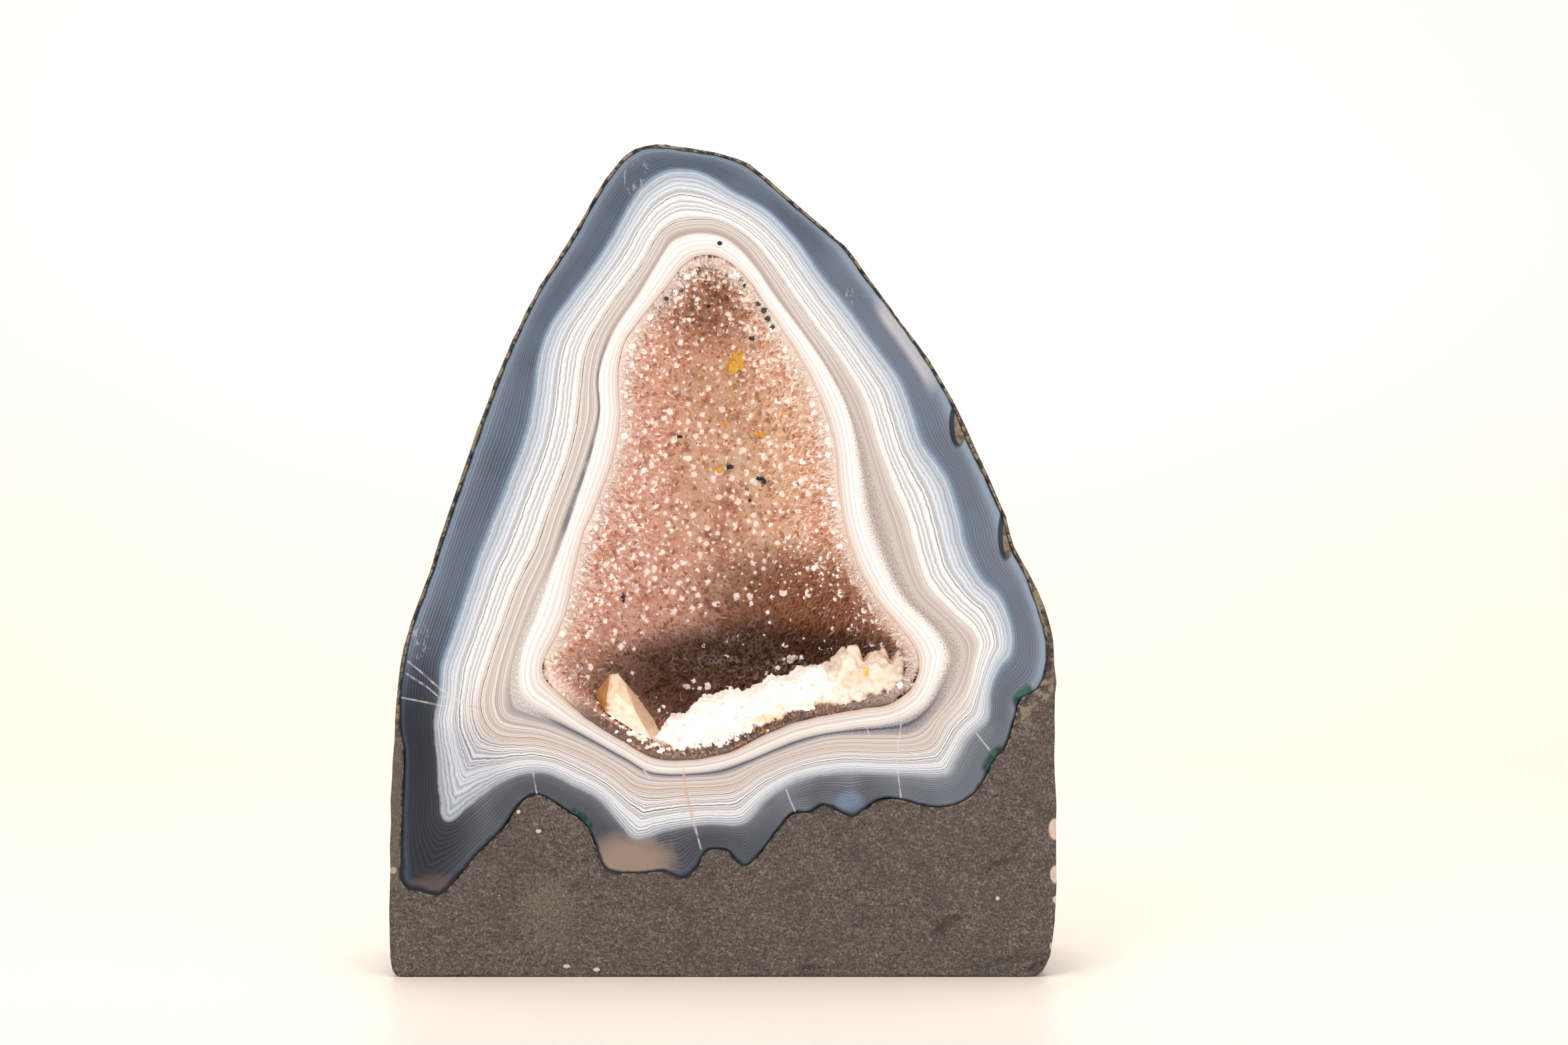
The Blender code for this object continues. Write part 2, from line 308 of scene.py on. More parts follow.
def paint(red, green, blue, light=PANEL_GAIN):
    """A screen colour, 0 to 255, as the linear colour that shaders use.

    The panels light the face a little above white, so each colour is taken down to match.
    """
    parts = [channel / 255 for channel in (red, green, blue)]
    linear = [p / 12.92 if p <= 0.04045 else ((p + 0.055) / 1.055) ** 2.4 for p in parts]
    return (*[min(1, value * light) for value in linear], 1)


print("a mid grey is", round(paint(128, 128, 128)[0], 3), "in linear light")

# %% [markdown]
# ## Floor and light
#
# The stone stands on a plain pale table in front of a white wall, in soft bright light. A sheet
# that curves up behind the stone gives both with no edge to see. Two large panels
# light the hollow from both sides; they stand so wide that the polished face doesn't mirror
# them into the camera.

# %% Floor and backdrop
FLOOR_FRONT, FLOOR_BACK, COVE, WALL_TOP, HALF_WIDTH = -1.5, 0.45, 0.35, 2.2, 2.6
COVE_STEPS = 24
profile = [(FLOOR_FRONT, 0.0)]
for i in range(COVE_STEPS + 1):
    turn = math.radians(90) * i / COVE_STEPS
    profile.append((FLOOR_BACK + COVE * math.sin(turn), COVE * (1 - math.cos(turn))))
profile.append((FLOOR_BACK + COVE, WALL_TOP))
sheet_points = [(side * HALF_WIDTH, y, z) for y, z in profile for side in (-1, 1)]
sheet_faces = [(2 * i, 2 * i + 1, 2 * i + 3, 2 * i + 2) for i in range(len(profile) - 1)]
sheet_mesh = bpy.data.meshes.new("backdrop")
sheet_mesh.from_pydata(sheet_points, [], sheet_faces)
sheet_mesh.polygons.foreach_set("use_smooth", [True] * len(sheet_faces))
backdrop = bpy.data.objects.new("backdrop", sheet_mesh)
scene.collection.objects.link(backdrop)
backdrop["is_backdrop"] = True

table = Finish("pale table", Roughness=0.45)
cloud = table.noise(table.place(), 0.12, 4)
upwards = table.axes(table.place())[2].rise(0.0, 0.25)
warm = table.mix(cloud, paint(228, 222, 214), paint(236, 231, 224))
# Painted light: the table is made lighter and warmer just in front of the stone, where its contact shadow
# falls.
painted_light_near_stone = table.axes(table.place())[1].rise(FRONT_Y - 0.10, FRONT_Y - 0.01)
warm = table.mix(painted_light_near_stone * (1 - upwards), warm, paint(252, 238, 224))
sheet_mesh.materials.append(table.wear(
    Base_Color=table.mix(upwards, warm, paint(243, 242, 241))))
print("backdrop of", len(sheet_faces), "strips")

# %% Lights
LIGHTS = {
    # name: (place, size across, power in watts, colour)
    "key panel": ((-0.62, -1.05, 0.80), 0.9, 10, (1.0, 0.995, 0.98)),
    "fill panel": ((0.70, -1.05, 0.45), 0.9, 5.5, (0.97, 0.98, 1.0)),
    "top panel": ((0.05, -0.35, 1.20), 0.8, 4, (1.0, 0.99, 0.975)),
    "wall panel": ((0.0, 0.15, 1.30), 0.8, 10, (1.0, 0.99, 0.97)),
}
for name, (at, size, power, colour) in LIGHTS.items():
    lamp = bpy.data.lights.new(name, "AREA")
    lamp.shape, lamp.size, lamp.energy, lamp.color = "DISK", size, power, colour
    holder = bpy.data.objects.new(name, lamp)
    holder.location = at
    aim = Vector((0, FLOOR_BACK if name == "wall panel" else 0, 0.07)) - Vector(at)
    holder.rotation_euler = aim.to_track_quat("-Z", "Y").to_euler()
    scene.collection.objects.link(holder)

world = bpy.data.worlds.new("soft room")
world.use_nodes = True
world.node_tree.nodes["Background"].inputs["Color"].default_value = (1, 0.993, 0.983, 1)
world.node_tree.nodes["Background"].inputs["Strength"].default_value = 0.35
scene.world = world
scene.view_settings.view_transform = "Standard"
print(len(LIGHTS), "panels and a pale room")

# %% [markdown]
# ## Working on a copy of a stone
#
# A packed stone is coarse, and its triangles are loose. The helpers here weld a copy, take
# its flat front off, run a fair curve through the points of each open rim, and fill the front
# again with small even triangles. The rest of the stone stays as it was, so the finished
# piece sits exactly where its CAD solid sits.


# %% Fair curves through points
def fair_spans(points, pitch=None, count=None):
    """For each chord of a closed loop, the points of a smooth curve along it, first one in."""
    points = [Vector(point) for point in points]
    spans = []
    for i, here in enumerate(points):
        before, after = points[i - 1], points[(i + 1) % len(points)]
        beyond = points[(i + 2) % len(points)]
        handle = (after - here).length / 3
        leave = here + (after - before).normalized() * handle
        arrive = after - (beyond - here).normalized() * handle
        parts = count or max(1, round((after - here).length / pitch))
        curve = interpolate_bezier(here, leave, arrive, after, parts + 1)
        spans.append(np.array([point[:2] for point in curve[:-1]]))
    return spans


def fair_loop(drawing, pitch):
    """A closed curve through places of the drawing, as one array of (x, z)."""
    return np.concatenate(fair_spans([on_face(*place) for place in drawing], pitch))


print("a ring of 8 places gives", len(fair_loop([(0, 0), (50, 0), (60, 50), (0, 60)], 0.001)))


# %% Distances and sides
def distance_to(points, line, closed=True, chunk=4000):
    """Distance of each (x, z) point to a line of straight pieces."""
    starts = line if closed else line[:-1]
    ends = np.roll(line, -1, axis=0) if closed else line[1:]
    along = ends - starts
    squares = np.maximum((along ** 2).sum(1), 1e-18)
    found = []
    for first in range(0, len(points), chunk):
        away = points[first:first + chunk, None] - starts
        share = np.clip((away * along).sum(2) / squares, 0, 1)
        found.append(np.sqrt(((away - share[..., None] * along) ** 2).sum(2)).min(1))
    return np.concatenate(found)


def inside(points, loop, chunk=4000):
    """True for each (x, z) point that lies inside a closed loop."""
    ends = np.roll(loop, -1, axis=0)
    found = []
    for first in range(0, len(points), chunk):
        x, z = points[first:first + chunk, 0, None], points[first:first + chunk, 1, None]
        straddles = (loop[:, 1] > z) != (ends[:, 1] > z)
        rise = np.where(ends[:, 1] == loop[:, 1], 1e-12, ends[:, 1] - loop[:, 1])
        crossing = loop[:, 0] + (z - loop[:, 1]) / rise * (ends[:, 0] - loop[:, 0])
        found.append((straddles & (x < crossing)).sum(1) % 2 == 1)
    return np.concatenate(found)


def hex_grid(loop, pitch):
    """Points of an even triangular grid over a loop's box."""
    low, high = loop.min(0), loop.max(0)
    rows = np.arange(low[1], high[1], pitch * math.sqrt(0.75))
    grid = [np.column_stack((np.arange(low[0] + (i % 2) * pitch / 2, high[0], pitch),
                             np.full(len(np.arange(low[0] + (i % 2) * pitch / 2, high[0],
                                                   pitch)), row)))
            for i, row in enumerate(rows)]
    return np.concatenate(grid)


square = np.array([(0, 0), (1, 0), (1, 1), (0, 1)], float)
print("inside and outside a square:", inside(np.array([(0.5, 0.5), (1.5, 0.5)]), square))


# %% Welding, opening and filling a stone's front
def welded_copy(node):
    """A bmesh of a CAD node with its loose triangles joined."""
    bm = bmesh.new()
    bm.from_mesh(nodes[node].data)
    bmesh.ops.remove_doubles(bm, verts=bm.verts, dist=TOUCH / 2)
    return bm


def open_front(bm):
    """Take the flat front faces off and give the open rims, widest first."""
    flat = [f for f in bm.faces if all(v.co.y < FRONT_Y + TOUCH for v in f.verts)]
    bmesh.ops.delete(bm, geom=flat, context="FACES")
    return rims(bm)


def flat_places(rim):
    return [(vert.co.x, vert.co.z) for vert in rim]


def rims(bm):
    """Each open rim as its vertices in order."""
    left = {edge for edge in bm.edges if edge.is_boundary}
    found = []
    while left:
        edge = min(left, key=lambda e: e.index)
        left.remove(edge)
        first, here = edge.verts
        rim = [first]
        while here is not first:
            rim.append(here)
            edge = next(e for e in here.link_edges if e in left)
            left.remove(edge)
            here = edge.other_vert(here)
        found.append(rim)
    return sorted(found, key=lambda rim: np.ptp(flat_places(rim), axis=0).sum(), reverse=True)


def split_rim(bm, rim, pitch):
    """Split a rim's edges so that it follows a fair curve; gives its vertices in order."""
    fine = []
    for i, span in enumerate(fair_spans(flat_places(rim), pitch)):
        here, last = rim[i], rim[(i + 1) % len(rim)]
        fine.append(here)
        for x, z in span[1:]:
            here = bmesh.utils.edge_split(bm.edges.get((here, last)), here, 0.5)[1]
            here.co = (x, FRONT_Y, z)
            fine.append(here)
    return fine


def fill_front(bm, outer, inner, grid, extra=()):
    """Fill the flat front between two rims with small triangles.

    The grid's points and the extra lines become vertices too. Gives the new vertices.
    """
    outside, hole = np.array(flat_places(outer)), np.array(flat_places(inner))
    points = [outside, hole]
    edges = []
    start = 0
    for line, closed in [(outside, True), (hole, True), *extra]:
        last = len(line) if closed else len(line) - 1
        edges += [(start + i, start + (i + 1) % len(line)) for i in range(last)]
        start += len(line)
    points += [line for line, _ in extra] + [grid]
    flat = np.concatenate(points)
    known = list(outer) + list(inner)
    verts, _, faces, sources, _, _ = delaunay_2d_cdt(
        [Vector(point) for point in flat], edges, [], 0, TOUCH / 10, True)
    made = []
    for vert, source in zip(verts, sources):
        old = next((known[i] for i in source if i < len(known)), None)
        made.append(old or bm.verts.new((vert.x, FRONT_Y, vert.y)))
    places = np.array([(v.x, v.y) for v in verts])
    middles = np.array([places[list(face)].mean(0) for face in faces])
    kept = inside(middles, outside) & ~inside(middles, hole)
    for face, keep in zip(faces, kept):
        if keep:
            bm.faces.new([made[i] for i in face])
    loose = [vert for vert in bm.verts if not vert.link_faces]
    bmesh.ops.delete(bm, geom=loose, context="VERTS")
    return kept.sum()


def finished(name, bm, material, replaced=None, smooth=True):
    """Make the object of a piece, on the frame's one body."""
    bmesh.ops.triangulate(bm, faces=[f for f in bm.faces if len(f.verts) > 3])
    bmesh.ops.recalc_face_normals(bm, faces=bm.faces)
    mesh = bpy.data.meshes.new(name)
    bm.to_mesh(mesh)
    bm.free()
    return finished_mesh(name, mesh, material, replaced, smooth)


def finished_mesh(name, mesh, material, replaced=None, smooth=True):
    mesh.materials.clear()
    mesh.materials.append(material)
    mesh.polygons.foreach_set("use_smooth", [smooth] * len(mesh.polygons))
    piece = bpy.data.objects.new(name, mesh)
    scene.collection.objects.link(piece)
    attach(piece, "root")
    if replaced:
        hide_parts(replaced)
    print(f"{name}: {len(mesh.polygons)} faces")
    return piece


print("helpers for the front are ready")

# %% [markdown]
# ## The banded agate
#
# Agate grew inwards from the cavity's wall, layer on layer, so each band runs right round and
# no two bands are exactly parallel. On the real face four bands stand out: where slate blue turns
# white, a dark brown hairline, the outer edge of a grey quartz ribbon, and the inner bright
# white band. These are drawn as guide curves. Between two guides, a point's share of the way
# from one to the other gives a band number, which the mesh carries as an attribute. A finish
# that reads that number alone gives bands that bend, pinch and widen as real ones do.

# %% Guide curves on the drawing
WHITE_STARTS = [
    (1040, 256), (1000, 257), (960, 285), (930, 335), (900, 385), (860, 440), (825, 490),
    (808, 540), (800, 600), (790, 650), (768, 710), (742, 775), (715, 845), (697, 900),
    (677, 960), (663, 1000), (661, 1040), (653, 1080), (657, 1140), (662, 1200), (671, 1230),
    (700, 1210), (740, 1180), (780, 1162), (820, 1160), (860, 1178), (900, 1200), (935, 1240),
    (955, 1258), (1000, 1245), (1060, 1236), (1115, 1235), (1150, 1200), (1195, 1172),
    (1260, 1160), (1360, 1162), (1420, 1162), (1435, 1140), (1455, 1105), (1482, 1080),
    (1486, 1040), (1500, 1003), (1518, 980), (1518, 940), (1500, 893), (1475, 870),
    (1450, 820), (1440, 775), (1420, 715), (1385, 665), (1368, 615), (1350, 570),
    (1310, 515), (1270, 460), (1230, 410), (1195, 360), (1150, 315), (1095, 285), (1070, 268),
]
BROWN_LINE = [
    (1040, 330), (1080, 333), (1124, 360), (1158, 400), (1213, 480), (1257, 540),
    (1292, 600), (1311, 660), (1331, 720), (1355, 780), (1372, 840), (1387, 880),
    (1424, 920), (1463, 960), (1459, 1000), (1447, 1040), (1412, 1080), (1390, 1112),
    (1340, 1120), (1260, 1119), (1200, 1131), (1140, 1153), (1100, 1176), (1020, 1182),
    (960, 1181), (919, 1153), (873, 1129), (810, 1108), (744, 1100), (722, 1060),
    (734, 1000), (755, 940), (777, 880), (807, 820), (827, 760), (850, 700), (866, 640),
    (873, 580), (883, 520), (917, 460), (962, 400), (988, 355), (1010, 336),
]
GREY_RIBBON = [
    (1040, 341), (1080, 344), (1118, 368), (1143, 400), (1198, 480), (1240, 540),
    (1273, 600), (1297, 660), (1320, 740), (1339, 800), (1358, 860), (1380, 900),
    (1424, 940), (1446, 980), (1435, 1020), (1412, 1060), (1370, 1098), (1320, 1101),
    (1240, 1105), (1160, 1131), (1090, 1160), (1040, 1165), (980, 1164), (940, 1144),
    (880, 1112), (820, 1086), (780, 1075), (762, 1066), (760, 1020), (775, 960),
    (797, 900), (823, 840), (842, 780), (865, 720), (885, 660), (895, 620), (894, 560),
    (911, 500), (950, 440), (988, 380), (1005, 352),
]
BRIGHT_BAND = [
    (1050, 353), (1090, 362), (1130, 400), (1157, 440), (1203, 500), (1243, 560),
    (1271, 620), (1285, 700), (1295, 780), (1317, 840), (1350, 900), (1390, 940),
    (1413, 980), (1404, 1020), (1383, 1060), (1340, 1083), (1280, 1092), (1200, 1108),
    (1120, 1140), (1060, 1157), (980, 1158), (940, 1137), (880, 1103), (824, 1071),
    (783, 1040), (784, 980), (807, 920), (828, 860), (850, 800), (870, 740), (889, 680),
    (901, 620), (900, 560), (922, 500), (962, 440), (998, 380), (1015, 362),
]
CURVE_PITCH = 0.55 * MM
guides = [fair_loop(drawing, CURVE_PITCH)
          for drawing in (WHITE_STARTS, BROWN_LINE, GREY_RIBBON, BRIGHT_BAND)]
print("guide curves of", [len(guide) for guide in guides], "points")

# %% [markdown]
# A few healed cracks cross the bands. Each is a line of the drawing, and the mesh gets its
# vertices on it, so that the distance to the nearest crack is exact and a hairline stays sharp.

# %% Healed cracks
CRACKS = [
    [(612, 992), (634, 1010), (661, 1034), (690, 1052)],
    [(610, 1011), (640, 1030), (659, 1046), (675, 1046), (700, 1058), (724, 1064)],
    [(603, 1047), (630, 1052), (658, 1058), (677, 1060)],
    [(800, 1160), (803, 1178), (806, 1193)],
    [(1024, 1145), (1030, 1190), (1040, 1230), (1052, 1274)],
    [(1180, 1185), (1187, 1204), (1195, 1221)],
    [(1347, 1065), (1353, 1080), (1345, 1140), (1352, 1196)],
    [(1300, 1090), (1305, 1105)],
    [(1465, 1100), (1475, 1113), (1485, 1125)],
    [(963, 1150), (975, 1168)],
]


def spaced(line, pitch):
    """Straight pieces along a line, none longer than the pitch."""
    made = []
    for here, there in zip(line, line[1:]):
        parts = max(1, math.ceil(np.linalg.norm(there - here) / pitch))
        made += [here + (there - here) * i / parts for i in range(parts)]
    return np.array(made + [line[-1]])


cracks = [spaced(np.array([on_face(*place) for place in line]), CURVE_PITCH)
          for line in CRACKS]
print(len(cracks), "healed cracks")

# %% The agate's fine front
GRID_PITCH = 0.6 * MM
CLEAR_OF_LINES = 0.3 * MM
EDGE_WAVE = 0.14 * MM
RIND_REACH = 0.12 * MM
LIP_REACH = 0.42 * MM
agate = welded_copy("agate_wall")
outer_rim, hollow_rim = open_front(agate)[:2]
outer_rim = split_rim(agate, outer_rim, CURVE_PITCH)
hollow_rim = split_rim(agate, hollow_rim, CURVE_PITCH)
rind_line = np.array(flat_places(outer_rim))
hollow_line = np.array(flat_places(hollow_rim))


def moved_rim(rim, reach, wave, size):
    """Move a rim sideways in the face: reach metres out, and a little more or less by noise."""
    line = np.array(flat_places(rim))
    along = np.roll(line, -1, axis=0) - np.roll(line, 1, axis=0)
    out = np.column_stack((along[:, 1], -along[:, 0])) / np.linalg.norm(along, axis=1)[:, None]
    area = (line[:, 0] * np.roll(line[:, 1], -1) - np.roll(line[:, 0], -1) * line[:, 1]).sum()
    out *= math.copysign(1, area)
    steps = [reach + wave * noise.noise(Vector((px, 0, pz)) / size) for px, pz in line]
    for vert, (dx, dz), step in zip(rim, out, steps):
        vert.co.x += dx * step
        vert.co.z += dz * step


moved_rim(outer_rim, RIND_REACH, EDGE_WAVE, 2.5 * MM)
moved_rim(hollow_rim, -LIP_REACH, EDGE_WAVE, 2.5 * MM)
grid = hex_grid(rind_line, GRID_PITCH)
grid = grid[inside(grid, rind_line) & ~inside(grid, hollow_line)]
for line in [rind_line, hollow_line, *guides]:
    grid = grid[distance_to(grid, line) > CLEAR_OF_LINES]
for line in cracks:
    grid = grid[distance_to(grid, line, closed=False) > CLEAR_OF_LINES]
fill_front(agate, outer_rim, hollow_rim, grid,
           [(guide, True) for guide in guides] + [(line, False) for line in cracks])
print(len(agate.verts), "points in the agate")

# %% Band numbers on the mesh
lines = [np.array(flat_places(outer_rim)), *guides, np.array(flat_places(hollow_rim))]


def band_numbers(points):
    """0 at the rind, 1 to 4 on the guides and 5 at the hollow, with shares between."""
    away = np.array([distance_to(points, line) for line in lines])
    zone = sum(inside(points, guide).astype(int) for guide in guides)
    pick = np.arange(len(points))
    here, there = away[zone, pick], away[zone + 1, pick]
    return zone + here / np.maximum(here + there, 1e-9)


def set_attribute(mesh, name, values):
    mesh.attributes.new(name, "FLOAT", "POINT").data.foreach_set(
        "value", np.asarray(values, np.float32))


def mesh_points(mesh):
    points = np.empty(len(mesh.vertices) * 3)
    mesh.vertices.foreach_get("co", points)
    return points.reshape(-1, 3)


print("bands from rind to hollow:", len(lines))

# %% [markdown]
# The finish reads the band number through two colour ramps, one outside the brown hairline and
# one inside it. Fine threads come from sines and one-dimensional noise of the same number, so
# they follow the bands. Two cloudy noises shake the number a little, because real threads are
# never quite smooth. The polished face has a low roughness, and the quartz ribbon is grainy.

# %% Agate's broad bands
MIRROR_VEIL = 0.022


def polished(red, green, blue):
    """A screen colour as paint, less the little white that the polish mirrors everywhere."""
    return tuple(max(0.002, part - MIRROR_VEIL * PANEL_GAIN)
                 for part in paint(red, green, blue)[:3]) + (1,)


UPPER_BANDS = [
    (0.00, polished(136, 149, 168)), (0.10, polished(128, 140, 157)),
    (0.20, polished(114, 121, 135)), (0.45, polished(101, 107, 120)),
    (0.80, polished(98, 105, 119)), (0.93, polished(108, 122, 141)),
    (1.00, polished(150, 164, 181)), (1.06, polished(188, 196, 207)),
    (1.25, polished(200, 204, 212)), (1.40, polished(226, 226, 230)),
    (1.58, polished(246, 242, 241)), (1.84, polished(246, 240, 237)),
    (1.95, polished(232, 222, 217)), (2.10, polished(226, 214, 205)),
    (2.30, polished(208, 195, 189)), (2.48, polished(224, 212, 205)),
    (2.62, polished(200, 186, 181)), (2.78, polished(196, 182, 177)),
    (2.92, polished(230, 217, 210)), (3.05, polished(212, 196, 188)),
    (3.25, polished(196, 180, 173)), (3.55, polished(186, 170, 162)),
    (3.72, polished(204, 189, 183)), (3.85, polished(240, 228, 221)),
    (4.05, polished(246, 240, 233)), (4.20, polished(255, 253, 250)),
    (4.40, polished(255, 252, 248)), (4.48, polished(232, 222, 215)),
    (4.58, polished(250, 243, 238)), (4.85, polished(242, 228, 220)),
    (5.00, polished(224, 196, 180)),
]
LOWER_BANDS = [
    (0.00, polished(88, 92, 98)), (0.12, polished(100, 104, 112)),
    (0.50, polished(106, 107, 115)), (0.80, polished(120, 122, 130)),
    (0.92, polished(136, 139, 146)), (1.02, polished(172, 174, 180)),
    (1.12, polished(200, 203, 210)), (1.40, polished(226, 223, 224)),
    (1.70, polished(240, 231, 227)), (1.92, polished(211, 195, 188)),
    (2.08, polished(214, 196, 187)), (2.25, polished(201, 184, 178)),
    (2.42, polished(217, 205, 200)), (2.68, polished(184, 172, 168)),
    (2.82, polished(204, 192, 188)), (2.96, polished(184, 175, 171)),
    (3.15, polished(160, 154, 154)), (3.40, polished(140, 137, 143)),
    (3.47, polished(88, 94, 112)), (3.64, polished(84, 90, 108)),
    (3.70, polished(168, 162, 164)), (3.80, polished(140, 136, 144)),
    (3.90, polished(190, 180, 178)), (4.05, polished(214, 202, 197)),
    (4.20, polished(240, 230, 224)), (4.36, polished(252, 243, 237)),
    (4.52, polished(208, 194, 188)), (4.62, polished(238, 226, 219)),
    (4.85, polished(222, 206, 197)), (5.00, polished(186, 160, 146)),
]
agate_finish = Finish("polished blue lace agate", IOR=1.54, Specular_IOR_Level=0.25,
                      Coat_Weight=0.05, Coat_Roughness=0.03)
f = agate_finish
place = f.place()
x, _, z = f.axes(place)
band = f.attribute("band")
crack = f.attribute("crack")
ripple = (f.noise(place, 2.4 * MM, 2) - 0.5) * 0.05 + (f.noise(place, 0.8 * MM, 1) - 0.5) * 0.03
wavy = band + ripple * band.rise(0.05, 1.2)
right = x.rise(on_face(1215, 0)[0], on_face(1275, 0)[0])
low = z.rise(on_face(0, 985)[1], on_face(0, 1115)[1])
base = f.mix(low, f.ramp(wavy, UPPER_BANDS, 0, 5), f.ramp(wavy, LOWER_BANDS, 0, 5))
print("broad bands:", len(UPPER_BANDS), "above and", len(LOWER_BANDS), "below")


# %% Agate's fine threads
def stripes(value, count, shift, uneven=1.6):
    """Stripes that swing from -1 to 1, this many to each whole number, never quite even."""
    drift = f.noise_along(value * 7 + shift, 1) * (uneven / count)
    return ((value + drift) * (math.tau * count)).sine()


slate_zone = wavy.rise(1.0, 0.93)
white_zone = wavy.rise(0.99, 1.05) * wavy.rise(1.97, 1.92)
beige_zone = wavy.rise(1.98, 2.05) * wavy.rise(3.04, 2.98)
vigour = f.noise_along(band * 9 + 3.1, 1).rise(0.25, 0.65) * 0.6 + 0.4
slate_threads = stripes(band, 13.5, 0, 0.7) * vigour + stripes(band, 29, 50) * 0.15
coarse = stripes(wavy, 10.5, 20) * (0.7 - low * 0.3) + stripes(wavy, 19, 70) * (0.4 + low * 0.4)
whiteness = wavy.rise(1.3, 1.6)
thin_dark = (coarse - 0.25).lesser(0) * 1.5
white_threads = f.mix(whiteness * 0.7, coarse, thin_dark)
beige_threads = (f.noise_along(wavy * 16 + 40, 1) - 0.5) * 4 + stripes(wavy, 12, 90) * 0.3
tone = (slate_threads * slate_zone * band.rise(0.04, 0.16) * 0.42
        + white_threads * white_zone * (0.38 + low * 0.12) + beige_threads * beige_zone * 0.34)
base = f.mix(1.0, base, 1 + tone, "MULTIPLY")

brown_line = abs(wavy - 2.0).rise(0.024, 0.007)
base = f.mix(brown_line * (0.85 - right * 0.3 - low * 0.25), base,
             f.mix(right, polished(136, 106, 88), polished(206, 170, 134)))
cream_threads = f.noise_along(wavy * 13 + 71, 1).rise(0.55, 0.64)
base = f.mix(cream_threads * beige_zone * 0.5, base, polished(252, 245, 236))
pale_line = (abs(wavy - 4.25).rise(0.03, 0.012) + abs(wavy - 4.72).rise(0.03, 0.01)
             + abs(wavy - 4.88).rise(0.025, 0.01)).lesser(1)
base = f.mix(pale_line * 0.5, base, polished(190, 176, 170))
inner_right = beige_zone * right * (1 - low)
base = f.mix(inner_right * 0.35, base, polished(186, 170, 164))
base = f.mix(slate_zone * right * (1 - low) * 0.2, base, polished(160, 168, 182))
print("threads in three zones")

# %% How the bands change round the stone
ribbon = wavy.rise(3.0, 3.1) * wavy.rise(4.0, 3.85)
grain = f.noise(place, 0.30 * MM, 3, 0.75)
left_middle = f.spot(x, z, 872, 665, 70, 175, 0.5)
middle_dark = wavy.rise(3.2, 3.48) * wavy.rise(3.97, 3.78)
patchy = f.noise(place, 5 * MM, 2).rise(0.3, 0.6) * 0.5 + 0.5
base = f.mix(middle_dark * left_middle * patchy, base, polished(132, 130, 136))
left_foot = f.spot(x, z, 800, 970, 70, 110, 0.5) * wavy.rise(3.25, 3.4) * wavy.rise(4.0, 3.9)
base = f.mix(left_foot * 0.85, base, polished(218, 208, 202))
speckled = ribbon * (right + left_foot + 0.25).lesser(1)
base = f.mix(1.0, base, 1 + (grain - 0.5) * speckled * 2.6, "MULTIPLY")
sugar = wavy.rise(3.5, 3.85) * wavy.rise(4.2, 4.0) * right * (1 - low)
base = f.mix(sugar * grain.rise(0.45, 0.6) * 0.9, base, polished(252, 247, 243))

clouds = f.noise(place, 15 * MM, 2)
base = f.mix(clouds.rise(0.42, 0.7) * slate_zone * 0.22, base, polished(138, 147, 162))
shade = (f.spot(x, z, 606, 1200, 115, 210, 0.75) * 0.85).greater(
    f.spot(x, z, 950, 1320, 330, 110, 0.7) * 0.5)
shade = shade.greater(low * clouds.rise(0.62, 0.42) * 0.35)
base = f.mix(shade * slate_zone, base, polished(38, 42, 52))
steel = band.rise(0.16, 0.05)
base = f.mix(steel * shade * 0.6, base, polished(90, 106, 128))
low_blue = f.spot(x, z, 690, 1180, 75, 90, 0.7) * white_zone
base = f.mix(low_blue * 0.4, base, polished(160, 166, 184))
lavender = f.spot(x, z, 1362, 505, 50, 100, 0.6) * band.rise(0.5, 0.2)
base = f.mix(lavender * 0.9, base, polished(212, 203, 204))
right_steel = right * (1 - low) * band.rise(0.34, 0.1)
base = f.mix(right_steel * 0.5, base, polished(160, 172, 188))
window_edge = f.noise(place, 3 * MM, 2) * 30 * UNIT
tan_window = f.spot(x + window_edge, z + window_edge, 958, 1284, 62, 44, 0.85) * slate_zone
base = f.mix(tan_window * 0.78, base, polished(168, 144, 128))
brown_tip = f.spot(x, z, 655, 1335, 40, 22, 0.7)
base = f.mix(brown_tip * 0.6, base, polished(112, 90, 80))
blue_spot = f.spot(x, z, 1275, 1202, 20, 14, 0.9)
base = f.mix(blue_spot * 0.5, base, polished(134, 156, 186))
print("the ribbon is navy below, dark on the left and speckled on the right")

# %% Marks on the agate
frost = (f.spot(x, z, 955, 266, 20, 26) + f.spot(x, z, 1281, 445, 18, 13)
         + f.spot(x, z, 628, 962, 18, 26)).lesser(1)
scratch = f.noise(f.scaled(place, (1.6, 1, 0.7)), 1.0 * MM, 3, 0.7)
frost = frost * scratch.rise(0.55, 0.62)
base = f.mix(frost * 0.5, base, paint(182, 188, 194))
ragged = f.noise(place, 1.2 * MM, 2) * 0.5
black_edge = (band + ragged * 0.10 - 0.02).rise(0.10, 0.03) * low
base = f.mix(black_edge * 0.85, base, polished(24, 30, 38))
green = (f.spot(x, z, 1533, 1043, 17, 22) + f.spot(x, z, 1491, 1139, 24, 22)
         + f.spot(x, z, 876, 1226, 24, 18) + f.spot(x, z, 1385, 1209, 8, 4)).lesser(1)
green = green * (band - ragged * 0.3).rise(0.22, 0.06)
base = f.mix(green * 0.9, base, f.mix(ragged.rise(0.2, 0.32), paint(14, 40, 40),
                                      paint(36, 92, 72)))
rind_shadow = (band + ragged * 0.06).rise(0.055, 0.03)
base = f.mix(rind_shadow * 0.7, base, polished(40, 48, 58))

